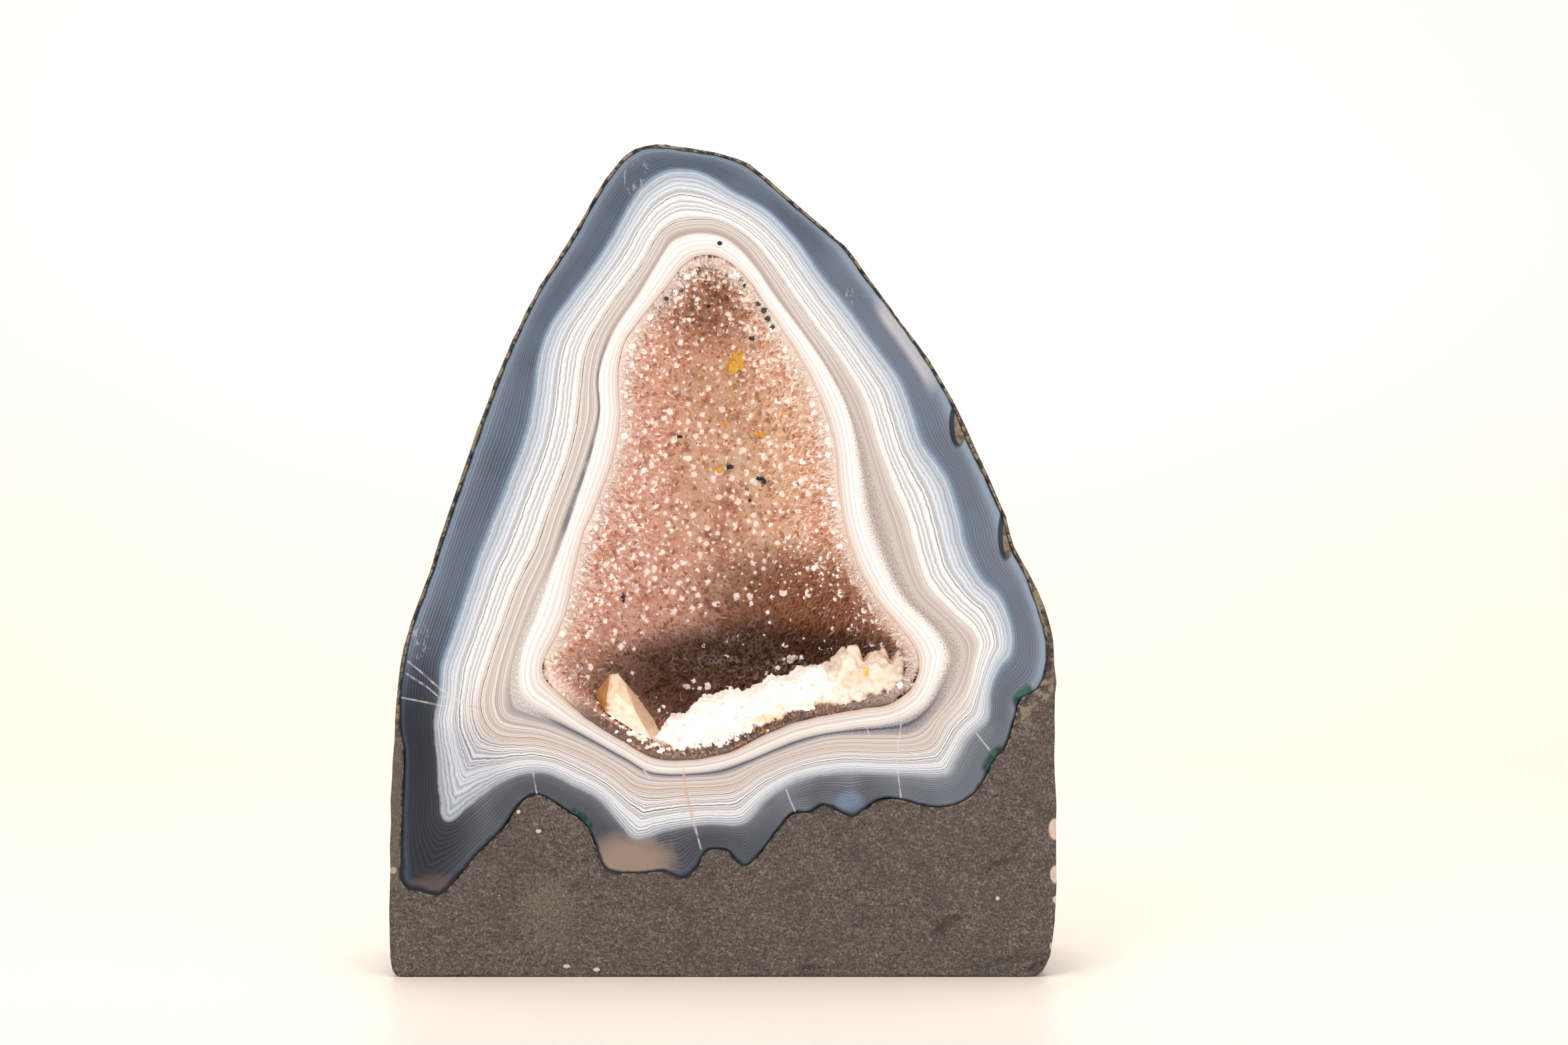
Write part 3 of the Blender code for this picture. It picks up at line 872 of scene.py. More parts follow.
wide_crack = f.spot(x, z, 1035, 1200, 20, 60)
for across, down, wide, high in ((1437, 636, 9, 30), (1509, 802, 8, 34)):
    base = f.mix(f.spot(x, z, across, down, wide + 4, high + 5, 0.25) * 0.85, base,
                 polished(34, 30, 30))
    base = f.mix(f.spot(x, z, across + 4, down, wide, high, 0.3), base,
                 f.mix(ragged.rise(0.2, 0.3), polished(112, 98, 84), polished(150, 134, 114)))
crack_width = (0.08 + wide_crack * 0.25) * MM + f.noise(place, 1.6 * MM, 2) * 0.28 * MM
hairline = (crack / crack_width).rise(1.1, 0.2)
orange = (f.spot(x, z, 716, 1063, 14, 7) + f.spot(x, z, 1032, 1195, 14, 46)).lesser(1)
crack_colour = f.mix(orange, polished(226, 220, 216), polished(212, 172, 146))
faint = f.noise(place, 1.2 * MM, 2).rise(0.3, 0.6) * 0.5 + 0.15
base = f.mix(hairline * faint, base, crack_colour)
pit = f.spot(x, z, 1080, 365, 4, 3.5)
base = f.mix(pit, base, paint(70, 44, 32))
peach = wavy.rise(4.86, 5.0) * x.rise(on_face(1240, 0)[0], on_face(1262, 0)[0])
base = f.mix(peach * 0.35, base, polished(246, 196, 160))

polish = f.noise(place, 6 * MM, 2)
rough = 0.07 + polish * 0.06 + ribbon * 0.05 + frost * 0.35 + hairline * 0.12
waves = f.bumps(tone, 0.003 * MM, 0.3)
agate_material = f.wear(Base_Color=base, Roughness=rough, Normal=waves)

agate_piece = finished("agate_wall_dressed", agate, agate_material, "agate_wall",
                       smooth=False)
points = mesh_points(agate_piece.data)
flat = points[:, [0, 2]]
on_front = points[:, 1] < FRONT_Y + TOUCH
bands = np.where(inside(flat, hollow_line), 5.0, 0.0)
bands[on_front] = band_numbers(flat[on_front])
set_attribute(agate_piece.data, "band", bands)
crack_distance = np.min([distance_to(flat, line, closed=False) for line in cracks], axis=0)
set_attribute(agate_piece.data, "crack", crack_distance)
print(f"band numbers from {bands.min():.2f} to {bands.max():.2f}")

# %% [markdown]
# ## The host rock
#
# Basalt broke away from the outside in rough lumps, while the saw left the front and the foot
# flat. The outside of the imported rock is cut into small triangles, its flat facets are eased
# into each other, and fractal noise pushes it in and out along its normals. The sawn front
# gets pits and grains of its own, which only ever sink in, so the face stays a true plane.


# %% Easing and roughening helpers
def mesh_arrays(bm):
    bm.verts.index_update()
    points = np.array([vert.co for vert in bm.verts])
    edges = np.array([[vert.index for vert in edge.verts] for edge in bm.edges])
    return points, edges


def eased(points, edges, free, times, pull=0.5):
    """Points drawn towards the mean of their neighbours, where free is 1."""
    count = np.zeros(len(points))
    np.add.at(count, edges.ravel(), 1)
    for _ in range(times):
        total = np.zeros_like(points)
        np.add.at(total, edges[:, 0], points[edges[:, 1]])
        np.add.at(total, edges[:, 1], points[edges[:, 0]])
        points = points + (total / count[:, None] - points) * (pull * free)[:, None]
    return points


def put_back(bm, points):
    for vert, point in zip(bm.verts, points):
        vert.co = point
    bm.normal_update()


def fractal(points, size, octaves=4, shift=0.0):
    """Fractal noise of about -1 to 1 at each point, with lumps of this many metres."""
    away = Vector((shift, shift, shift))
    return np.array([noise.fractal(Vector(point) / size + away, 0.9, 2.1, octaves)
                     for point in points])


print("noise at one place:", fractal([(0.01, 0.02, 0.03)], 0.01).round(3))

# %% The rock's outside
ROCK_HALVINGS = 3
ROCK_PITCH = 0.95 * MM
rock = welded_copy("host_rock")
silhouette, pocket_rim = open_front(rock)[:2]
old_rim = np.array(flat_places(silhouette))
fair_rim = np.concatenate(fair_spans(old_rim, count=2 ** ROCK_HALVINGS))
straight_rim = np.concatenate([
    old_rim[i] + (old_rim[(i + 1) % len(old_rim)] - old_rim[i])
    * np.arange(2 ** ROCK_HALVINGS)[:, None] / 2 ** ROCK_HALVINGS
    for i in range(len(old_rim))])
outside = set()
todo = [silhouette[0]]
while todo:
    vert = todo.pop()
    if vert not in outside:
        outside.add(vert)
        todo += [edge.other_vert(vert) for edge in vert.link_edges]
for _ in range(ROCK_HALVINGS):
    shell = [edge for edge in rock.edges if edge.verts[0] in outside]
    bmesh.ops.subdivide_edges(rock, edges=shell, cuts=1, use_grid_fill=True)
    outside.update(vert for vert in rock.verts
                   if any(edge.other_vert(vert) in outside for edge in vert.link_edges))

finder = KDTree(len(straight_rim))
for i, (px, pz) in enumerate(straight_rim):
    finder.insert((px, 0, pz), i)
finder.balance()
silhouette, pocket_rim = rims(rock)[:2]
for vert in silhouette:
    spot, i, _ = finder.find((vert.co.x, 0, vert.co.z))
    vert.co.x, vert.co.z = fair_rim[i]
rim_places = np.array(flat_places(silhouette))
chipped = np.abs(fractal([(px, 0, pz) for px, pz in rim_places], 3.2 * MM, 3, shift=5.0))
towards_middle = np.array((0, 70)) * MM - rim_places
towards_middle /= np.linalg.norm(towards_middle, axis=1)[:, None]
towards_middle[rim_places[:, 1] < 1 * MM] = 0
for vert, (dx, dz), chip in zip(silhouette, towards_middle, chipped * 0.55 * MM):
    vert.co.x += dx * chip
    vert.co.z = max(0, vert.co.z + dz * chip)
print(len(outside), "points on the rock's outside")

# %% Breaking the outside
BROAD, ROUGH, FINE = (1.5 * MM, 11 * MM), (0.55 * MM, 3.6 * MM), (0.22 * MM, 1.5 * MM)
FOOT_EDGE = 0.02 * MM
points, edges = mesh_arrays(rock)
is_outside = np.array([vert in outside for vert in rock.verts])
depth = points[:, 1] - FRONT_Y
height = points[:, 2]
free = is_outside * (depth > TOUCH) * (height > FOOT_EDGE)
points = eased(points, edges, free.astype(float), 14)
put_back(rock, points)
normals = np.array([vert.normal for vert in rock.verts])
push = np.zeros(len(points))
some = np.flatnonzero(free)
for tall, size in (BROAD, ROUGH, FINE):
    push[some] += tall * fractal(points[some], size)
creases = np.abs(fractal(points[some], 7 * MM, 3, shift=9.0))
push[some] -= 0.9 * MM * np.clip(0.16 - creases, 0, 1) / 0.16
fade = np.clip(depth / (5 * MM), 0, 1) ** 0.7 * np.clip(height / (3 * MM), 0, 1)
points = points + normals * (push * fade)[:, None]
low, high = (np.array(corner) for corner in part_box("host_rock"))
points[is_outside] = np.clip(points[is_outside], low, high)
put_back(rock, points)
print(f"broken by {push.min() / MM:.2f} to {push.max() / MM:.2f} mm")

# %% [markdown]
# The saw cut chips and pits into the base, and small crystals broke out along its edges. Each
# of those is an oval on the drawing with a turn and a depth.

# %% The rock's sawn front
ROCK_GRID = 0.55 * MM
GOUGES = [
    # across, down, half length, half width, turn in degrees, depth in mm
    (1527, 1272, 17, 5, 35, 0.9), (1512, 1292, 26, 5, 12, 0.8), (1488, 1306, 20, 7, 40, 0.9),
    (1424, 1386, 24, 8, 38, 1.2), (1410, 1400, 16, 8, 20, 0.9), (1219, 1455, 18, 8, 5, 1.1),
    (1530, 1440, 48, 5, 8, 0.7), (1560, 1452, 24, 10, 20, 0.9), (1563, 1022, 5, 5, 0, 0.9),
    (1300, 1240, 30, 6, 10, 0.35), (740, 1295, 30, 8, -30, 0.4), (620, 1400, 12, 26, 0, 0.3),
    (1040, 1335, 40, 6, 4, 0.3), (1555, 1190, 10, 40, 10, 0.4), (880, 1330, 26, 6, -8, 0.3),
]
pocket_rim = split_rim(rock, pocket_rim, CURVE_PITCH)
silhouette_line = np.array(flat_places(silhouette))
pocket_line = np.array(flat_places(pocket_rim))
grid = hex_grid(silhouette_line, ROCK_GRID)
grid = grid[inside(grid, silhouette_line) & ~inside(grid, pocket_line)]
for line in (silhouette_line, pocket_line):
    grid = grid[distance_to(grid, line) > 0.3 * MM]
fill_front(rock, silhouette, pocket_rim, grid)

rim_set = set(silhouette) | set(pocket_rim)
front = [v for v in rock.verts if v.co.y < FRONT_Y + TOUCH and v not in rim_set]
places = np.array(flat_places(front))
spots = [Vector((px, 0, pz)) for px, pz in places]
sink = 0.10 * MM * (1 + fractal(spots, 1.1 * MM, 3))
sink += 0.16 * MM * np.clip(fractal(spots, 5 * MM, 2, shift=4.0), 0, 1)
for across, down, long, wide, turn, deep in GOUGES:
    away = places - on_face(across, down)
    turn = math.radians(turn)
    along = (away[:, 0] * math.cos(turn) + away[:, 1] * math.sin(turn)) / (long * UNIT)
    aside = (away[:, 1] * math.cos(turn) - away[:, 0] * math.sin(turn)) / (wide * UNIT)
    ragged = 0.5 * fractal(spots, 1.6 * MM, 3, shift=across)
    sink += deep * MM * np.clip(1 - along ** 2 - aside ** 2 + ragged, 0, 1) ** 0.7 \
        * (along ** 2 + aside ** 2 < 1.6)
for vert, deep in zip(front, sink):
    vert.co.y = FRONT_Y + max(0.0, deep)
print(f"{len(front)} points on the sawn front, up to {sink.max() / MM:.2f} mm deep")

# %% [markdown]
# The rock is dark warm grey. Its grains are a few tenths of a millimetre across, some lighter,
# and brown dust lies in places. Chips on the right edge show a fresh beige-pink break. Next to
# the agate there is a line of brown and cream skin and a dark line of painted shade in the gap,
# which the finish finds by the distance to the pocket that the mesh carries. Dark patches of
# painted shadow lie in the crevices of the rough rind.

# %% Host rock finish
rock_finish = Finish("dark host rock", IOR=1.5, Specular_IOR_Level=0.35)
f = rock_finish
place = f.place()
x, y, z = f.axes(place)
skin = f.attribute("from_agate")
flat_place = f.scaled(place, (1, 1, 1.9))
grains = f.cells(place, 0.45 * MM)
tiny = f.noise(place, 0.28 * MM, 3, 0.7)
streaks = f.noise(flat_place, 1.4 * MM, 3, 0.6)
clouds = f.noise(place, 9 * MM, 4, 0.6)
base = f.ramp(grains * 0.3 + tiny * 0.7,
              [(0.28, paint(38, 33, 30)), (0.41, paint(72, 63, 57)), (0.52, paint(90, 80, 72)),
               (0.63, paint(120, 108, 98)), (0.76, paint(172, 160, 148))], 0, 1)
base = f.mix(streaks.rise(0.45, 0.7) * 0.35, base, paint(118, 106, 95))
base = f.mix(clouds.rise(0.45, 0.7) * 0.35, base, paint(62, 55, 51))
crumbs = f.noise(flat_place, 0.9 * MM, 3, 0.65)
base = f.mix(crumbs.rise(0.43, 0.35) * 0.6, base, paint(44, 38, 35))
base = f.mix(crumbs.rise(0.58, 0.68) * 0.45, base, paint(140, 127, 115))
dust = (f.spot(x, z, 825, 1378, 40, 52, 0.8) * 0.35 + clouds.rise(0.62, 0.8) * 0.3)
base = f.mix(dust * tiny.rise(0.4, 0.6), base, paint(146, 130, 116))
specks = f.cells(place, 3.6 * MM).rise(0.055, 0.035) * f.noise(place, 8 * MM, 1).rise(0.5, 0.6)
base = f.mix(specks * 0.8, base, paint(222, 212, 200))
chips = (f.spot(x, z, 1583, 1244, 9, 16, 0.3) + f.spot(x, z, 1584, 1312, 8, 13, 0.3)
         + f.spot(x, z, 1585, 1350, 5, 6, 0.3) + f.spot(x, z, 1580, 1420, 5, 6, 0.3)
         + f.spot(x, z, 590, 1306, 5, 5, 0.3) + f.spot(x, z, 850, 1450, 5, 3, 0.3)
         + f.spot(x, z, 895, 1455, 5, 3, 0.3) + f.spot(x, z, 808, 1247, 4, 3, 0.3)
         + f.spot(x, z, 778, 1218, 3, 3, 0.3) + f.spot(x, z, 1497, 1348, 3, 3, 0.3))
near_cut = (y + streaks * 3 * MM).rise(FRONT_Y + 5 * MM, FRONT_Y + 3 * MM)
base = f.mix(chips.lesser(1) * near_cut * tiny.rise(0.3, 0.45), base, paint(222, 196, 180))

skin_noise = f.noise(place, 1.5 * MM, 3, 0.6)
upper = z.rise(on_face(0, 1140)[1], on_face(0, 1060)[1])
cream = (skin / (0.1 * MM + skin_noise * 0.5 * MM)).rise(1.1, 0.7) * skin_noise.rise(0.46, 0.56)
base = f.mix(cream * (0.25 + upper * 0.45), base, paint(172, 150, 126))
olive = x.rise(on_face(612, 0)[0], on_face(600, 0)[0]) * z.rise(on_face(0, 1345)[1],
                                                             on_face(0, 1320)[1])
base = f.mix(olive * 0.5, base, paint(108, 96, 80))
# Painted shade: a dark line along the gap where the rock meets the agate.
gap_shade = (skin / (0.12 * MM + skin_noise * 0.5 * MM)).rise(1.3, 0.6)
base = f.mix(gap_shade * (1 - cream) * 0.75, base, paint(30, 27, 26))
rind = skin.rise(3.2 * MM, 2.2 * MM) * upper
patches = f.noise(place, 2.2 * MM, 3, 0.6)
base = f.mix(rind * patches.rise(0.5, 0.58) * 0.7, base, paint(158, 138, 108))
# Painted shadow: dark patches in the crevices of the rough rind.
base = f.mix(rind * patches.rise(0.46, 0.4) * 0.75, base, paint(38, 34, 34))

behind = y.rise(FRONT_Y + 1 * MM, FRONT_Y + 9 * MM)
weathered = f.ramp(f.noise(place, 6 * MM, 5, 0.65),
                   [(0.3, paint(66, 62, 58)), (0.5, paint(94, 88, 80)),
                    (0.62, paint(118, 108, 95)), (0.8, paint(140, 126, 108))], 0, 1)
base = f.mix(behind * 0.55, base, weathered)
celadon = f.noise(place, 13 * MM, 4, 0.7).rise(0.56, 0.7) * behind
base = f.mix(celadon * 0.35, base, paint(84, 98, 86))

height = grains * 0.5 + tiny * 0.5
pebbled = f.bumps(height, 0.22 * MM, 0.9)
pebbled = f.bumps(streaks, 0.30 * MM, 0.5, pebbled)
rock_material = f.wear(Base_Color=base, Roughness=0.62 + tiny * 0.25, Normal=pebbled)
rock_piece = finished("host_rock_dressed", rock, rock_material, "host_rock")
points = mesh_points(rock_piece.data)
from_agate = distance_to(points[:, [0, 2]], pocket_line)
from_agate[points[:, 1] > FRONT_Y + 1.5 * MM] = 20 * MM
set_attribute(rock_piece.data, "from_agate", from_agate)

# %% [markdown]
# ## The crystal crust
#
# The hollow is lined with quartz points about a millimetre across, thousands of them, so close
# that only their tips show. First comes the bed they stand on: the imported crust, cut finer and
# eased until its broad facets are gone. Then Geometry Nodes scatter the points over it, each a
# six-sided prism with a six-sided tip, turned and sized at random from a fixed seed.

# %% The bed of the crust
BED_CUTS = 2
HOLLOW_AXIS = Vector((6, 0, 58)) * MM
bed = welded_copy("druse_crust")
bmesh.ops.recalc_face_normals(bed, faces=bed.faces)
bed.normal_update()
bmesh.ops.subdivide_edges(bed, edges=bed.edges, cuts=BED_CUTS, use_grid_fill=True)
bmesh.ops.triangulate(bed, faces=bed.faces)
bed.normal_update()
bed.verts.index_update()


def looks_inward(vert):
    """True on the side of the crust that faces the hollow's axis."""
    to_axis = HOLLOW_AXIS - vert.co
    to_axis.y = min(0.0, FRONT_Y - vert.co.y) * 0.5
    return vert.normal.dot(to_axis.normalized()) > 0


growing = np.array([looks_inward(vert) for vert in bed.verts])
points, edges = mesh_arrays(bed)
at_rim = points[:, 1] < FRONT_Y + TOUCH
behind_lip = distance_to(points[:, [0, 2]], hollow_line) - LIP_REACH
points[at_rim, 1] += np.clip(behind_lip[at_rim], 0.12 * MM, 0.6 * MM)
free = (growing | at_rim) & (behind_lip > 0.1 * MM)
points = eased(points, edges, free.astype(float), 8)
put_back(bed, points)
normals = np.array([vert.normal for vert in bed.verts])
some = np.flatnonzero(free)
lumps = np.zeros(len(points))
lumps[some] = 0.55 * MM * fractal(points[some], 6 * MM, 3, shift=2.0)
lumps *= np.clip((points[:, 1] - FRONT_Y) / (4 * MM), 0, 1)
points = points + normals * lumps[:, None]
put_back(bed, points)
print(f"{growing.sum()} of {len(growing)} bed points face the hollow")

# %% Quartz finish
quartz = Finish("pink quartz druse", IOR=1.54, Coat_Weight=0.12, Coat_Roughness=0.1,
                Subsurface_Weight=0.3, Subsurface_Radius=(1.0, 0.65, 0.5),
                Subsurface_Scale=0.0012)
f = quartz
place = f.place()
x, y, z = f.axes(place)
tint = f.attribute("tint")
upper_brown = f.spot(x, z, 1045, 425, 95, 70, 0.9)
lower_brown_and_shade = f.spot(x, z, 1200, 915, 150, 85, 0.9)
smoky_and_shade = f.spot(x, z, 1150, 1035, 270, 90, 0.6)
left_rose = x.rise(on_face(1080, 0)[0], on_face(900, 0)[0])
clouds = f.noise(place, 7 * MM, 3)
warm_middle = f.spot(x, z, 1130, 680, 110, 230, 0.9)
base = f.mix(left_rose, paint(247, 200, 176, 1), paint(246, 198, 176, 1))
base = f.mix(warm_middle * 0.7, base, paint(255, 212, 180, 1.15))
base = f.mix(clouds.rise(0.4, 0.7) * 0.4, base, paint(246, 184, 160, 1))
base = f.mix(upper_brown * 0.8, base, paint(200, 148, 116))
base = f.mix(tint.rise(0.6, 1.0) * 0.6, base, paint(255, 238, 228, 1))
base = f.mix(tint.rise(0.5, 0.0) * 0.75, base, paint(184, 116, 88))
# Brown crystals and painted shade on the lower right of the hollow.
base = f.mix(lower_brown_and_shade * 0.85, base, paint(160, 102, 66))
# Dark smoky crystals and painted shade in the deep lower part of the hollow.
base = f.mix(smoky_and_shade * 0.93, base, f.mix(tint.rise(0.94, 1.0), paint(92, 58, 36),
                                       paint(150, 116, 94)))
rust = (f.spot(x, z, 1084, 790, 26, 64, 0.9) + f.spot(x, z, 1230, 770, 12, 44, 0.9)).lesser(1)
blotches = f.noise(place, 1.8 * MM, 3, 0.6)
base = f.mix(rust * blotches.rise(0.38, 0.6) * 0.6, base, paint(206, 104, 66))
pale = y.rise(FRONT_Y + 5 * MM, FRONT_Y + 1.5 * MM) * z.rise(on_face(0, 1090)[1],
                                                        on_face(0, 1000)[1])
base = f.mix(pale * 0.7, base, paint(254, 232, 220))
lip_brown = y.rise(FRONT_Y + 4 * MM, FRONT_Y + 2 * MM) * z.rise(on_face(0, 1030)[1],
                                                            on_face(0, 1085)[1])
lip_colour = f.mix(tint.rise(0.35, 0.9), paint(66, 42, 32), paint(184, 138, 114))
lip_colour = f.mix(tint.rise(0.9, 0.93), lip_colour, paint(206, 112, 52))
base = f.mix(lip_brown * 0.85, base, lip_colour)
dark_specks = f.noise(place, 1.3 * MM, 2).rise(0.58, 0.66) * upper_brown
base = f.mix(dark_specks * 0.75, base, paint(56, 42, 36))
frosting = f.noise(place, 0.5 * MM, 2)
quartz_material = f.wear(Base_Color=base, Roughness=0.18 + frosting * 0.3,
                         Normal=f.bumps(frosting, 0.03 * MM, 0.3))
bed_piece = finished("druse_bed", bed, quartz_material, "druse_crust")
set_attribute(bed_piece.data, "growth", free.astype(float))
set_attribute(bed_piece.data, "tint", np.full(len(growing), 0.4))
points = mesh_points(bed_piece.data)
low_lip = (points[:, 2] < on_face(0, 1040)[1]) & (points[:, 1] < FRONT_Y + 6 * MM)
vigour = np.where(low_lip, 0.7, 1.0)
by_honey = np.linalg.norm(points[:, [0, 2]] - on_face(915, 1085), axis=1) < 50 * UNIT
vigour[by_honey] = 0.5
set_attribute(bed_piece.data, "vigour", vigour)
set_attribute(bed_piece.data, "lip", (points[:, 1] < FRONT_Y + 2.4 * MM).astype(float))
from_smoke = np.linalg.norm((points[:, [0, 2]] - on_face(1150, 1015)) / (230 * UNIT, 95 * UNIT),
                            axis=1)
set_attribute(bed_piece.data, "flash", free * np.clip(from_smoke - 0.7, 0.12, 1))


# %% One quartz point
def quartz_point(sides=6, shaft=0.0, tip=0.78, sunk=0.5):
    """A closed six-sided point, one unit across, sunk in the plane z = 0.

    Without a shaft the point is a plain pyramid, which is all that shows in a dense crust.
    """
    bm = bmesh.new()
    rings = []
    for level in (-sunk, shaft)[:2 if shaft else 1]:
        rings.append([bm.verts.new((0.5 * math.cos(math.tau * i / sides),
                                    0.5 * math.sin(math.tau * i / sides), level))
                      for i in range(sides)])
    peak = bm.verts.new((0.05, -0.03, shaft + tip))
    for i in range(sides):
        j = (i + 1) % sides
        if shaft:
            bm.faces.new((rings[0][i], rings[0][j], rings[1][j], rings[1][i]))
        bm.faces.new((rings[-1][i], rings[-1][j], peak))
    bm.faces.new(reversed(rings[0]))
    mesh = bpy.data.meshes.new("quartz_point")
    bm.to_mesh(mesh)
    bm.free()
    return bpy.data.objects.new("quartz_point", mesh)


print("a quartz point has", len(quartz_point().data.polygons), "faces")


# %% The scattering tree
def new_tree(name, inputs):
    """An empty Geometry Nodes tree with a mesh in, a mesh out and these named inputs."""
    tree = bpy.data.node_groups.new(name, "GeometryNodeTree")
    tree.interface.new_socket("Geometry", in_out="INPUT", socket_type="NodeSocketGeometry")
    for label, kind in inputs:
        tree.interface.new_socket(label, in_out="INPUT", socket_type="NodeSocket" + kind)
    tree.interface.new_socket("Geometry", in_out="OUTPUT", socket_type="NodeSocketGeometry")
    return tree


def add_node(tree, kind, settings=None, values=None):
    """Add a Geometry Nodes node: settings first, then numbers or links for its sockets."""
    made = tree.nodes.new(kind)
    for name, value in (settings or {}).items():
        setattr(made, name, value)
    for socket, value in (values or {}).items():
        if isinstance(value, bpy.types.NodeSocket):
            tree.links.new(value, made.inputs[socket])
        else:
            made.inputs[socket].default_value = value
    return made


def scatter_tree(name, tilt, where="growth"):
    """Scatter one object over a mesh where an attribute allows, leaning at random."""
    tree = new_tree(name, [("Shape", "Object"), ("Spacing", "Float"), ("Smallest", "Float"),
                           ("Largest", "Float"), ("Skew", "Float"), ("Seed", "Int"),
                           ("Finish", "Material")])
    given = tree.nodes.new("NodeGroupInput").outputs
    growth = add_node(tree, "GeometryNodeInputNamedAttribute", {"data_type": "FLOAT"},
                      {"Name": where})
    spread = add_node(tree, "GeometryNodeDistributePointsOnFaces",
                      {"distribute_method": "POISSON"},
                      {"Mesh": given["Geometry"], "Distance Min": given["Spacing"],
                       "Density Max": 6e6, "Density Factor": growth.outputs["Attribute"],
                       "Seed": given["Seed"]})
    vigour = add_node(tree, "GeometryNodeInputNamedAttribute", {"data_type": "FLOAT"},
                      {"Name": "vigour"})
    shape = add_node(tree, "GeometryNodeObjectInfo", {}, {"Object": given["Shape"]})
    chance = add_node(tree, "FunctionNodeRandomValue", {"data_type": "FLOAT"},
                      {2: 0.0, 3: 1.0, "Seed": given["Seed"]})
    rare = add_node(tree, "ShaderNodeMath", {"operation": "POWER"},
                    {0: chance.outputs[1], 1: given["Skew"]})
    size = add_node(tree, "ShaderNodeMapRange", {},
                    {0: rare.outputs[0], 3: given["Smallest"], 4: given["Largest"]})
    sized = add_node(tree, "ShaderNodeMath", {"operation": "MULTIPLY"},
                     {0: size.outputs[0], 1: vigour.outputs["Attribute"]})
    lean = add_node(tree, "FunctionNodeRandomValue", {"data_type": "FLOAT_VECTOR"},
                    {0: (-tilt, -tilt, -math.pi), 1: (tilt, tilt, math.pi),
                     "Seed": given["Seed"]})
    turn = add_node(tree, "FunctionNodeEulerToRotation", {}, {0: lean.outputs["Value"]})
    turned = add_node(tree, "FunctionNodeRotateRotation", {"rotation_space": "LOCAL"},
                      {"Rotation": spread.outputs["Rotation"],
                       "Rotate By": turn.outputs["Rotation"]})
    placed = add_node(tree, "GeometryNodeInstanceOnPoints", {},
                      {"Points": spread.outputs["Points"], "Instance": shape.outputs["Geometry"],
                       "Rotation": turned.outputs["Rotation"], "Scale": sized.outputs[0]})
    shade = add_node(tree, "FunctionNodeRandomValue", {"data_type": "FLOAT"},
                     {2: 0.0, 3: 1.0, "Seed": 77})
    tinted = add_node(tree, "GeometryNodeStoreNamedAttribute",
                      {"data_type": "FLOAT", "domain": "INSTANCE"},
                      {"Geometry": placed.outputs["Instances"], "Name": "tint",
                       "Value": shade.outputs[1]})
    real = add_node(tree, "GeometryNodeRealizeInstances", {},
                    {"Geometry": tinted.outputs["Geometry"]})
    dressed = add_node(tree, "GeometryNodeSetMaterial", {},
                       {"Geometry": real.outputs["Geometry"], "Material": given["Finish"]})
    tree.links.new(dressed.outputs["Geometry"], tree.nodes.new("NodeGroupOutput").inputs[0])
    return tree


def grown(name, host, tree, **inputs):
    """Run a tree on a copy of a host object and give its result as a plain mesh."""
    helper = bpy.data.objects.new(name, host.data.copy())
    scene.collection.objects.link(helper)
    modifier = helper.modifiers.new("Grow", "NODES")
    modifier.node_group = tree
    for item in tree.interface.items_tree:
        if item.item_type == "SOCKET" and item.in_out == "INPUT" and item.name in inputs:
            modifier[item.identifier] = inputs[item.name]
    depsgraph = bpy.context.evaluated_depsgraph_get()
    mesh = bpy.data.meshes.new_from_object(helper.evaluated_get(depsgraph),
                                           preserve_all_data_layers=True,
                                           depsgraph=depsgraph)
    bpy.data.objects.remove(helper)
    return mesh


def kept_behind_face(points):
    """The saw cut everything level, so what would stand out of the face is pressed flat."""
    sawn = FRONT_Y + 0.15 * MM
    points[:, 1] = np.where(points[:, 1] < sawn, sawn - (sawn - points[:, 1]) * 0.04,
                            points[:, 1])
    return points


print("scattering tree ready")

# %% Thousands of quartz points
seedling = quartz_point()
crystals = grown("points", bed_piece, scatter_tree("Quartz points", 0.6),
                 Shape=seedling, Spacing=0.66 * MM, Smallest=0.75 * MM, Largest=1.9 * MM,
                 Skew=2.2, Seed=5, Finish=quartz_material)
points = mesh_points(crystals)
points = kept_behind_face(points)
crystals.vertices.foreach_set("co", points.ravel())
druse_piece = finished_mesh("druse_points", crystals, quartz_material, smooth=False)
print("attributes:", [a.name for a in crystals.attributes])

# %% Grit along the lip
grit = grown("grit", bed_piece, scatter_tree("Lip grit", 0.8, "lip"), Shape=seedling,
             Spacing=0.5 * MM, Smallest=0.6 * MM, Largest=1.2 * MM, Skew=1.5, Seed=9,
             Finish=quartz_material)
points = mesh_points(grit)
points = kept_behind_face(points)
grit.vertices.foreach_set("co", points.ravel())
bpy.data.objects.remove(seedling)
grit_piece = finished_mesh("lip_grit", grit, quartz_material, smooth=False)

# %% [markdown]
# Here and there a clean crystal face flashes white, as a small triangle or a square. A second,
# thinner scatter puts larger, brighter points with four sides among the others. Their finish
# glows a little: a painted glint, lit from within and not by the lamps.

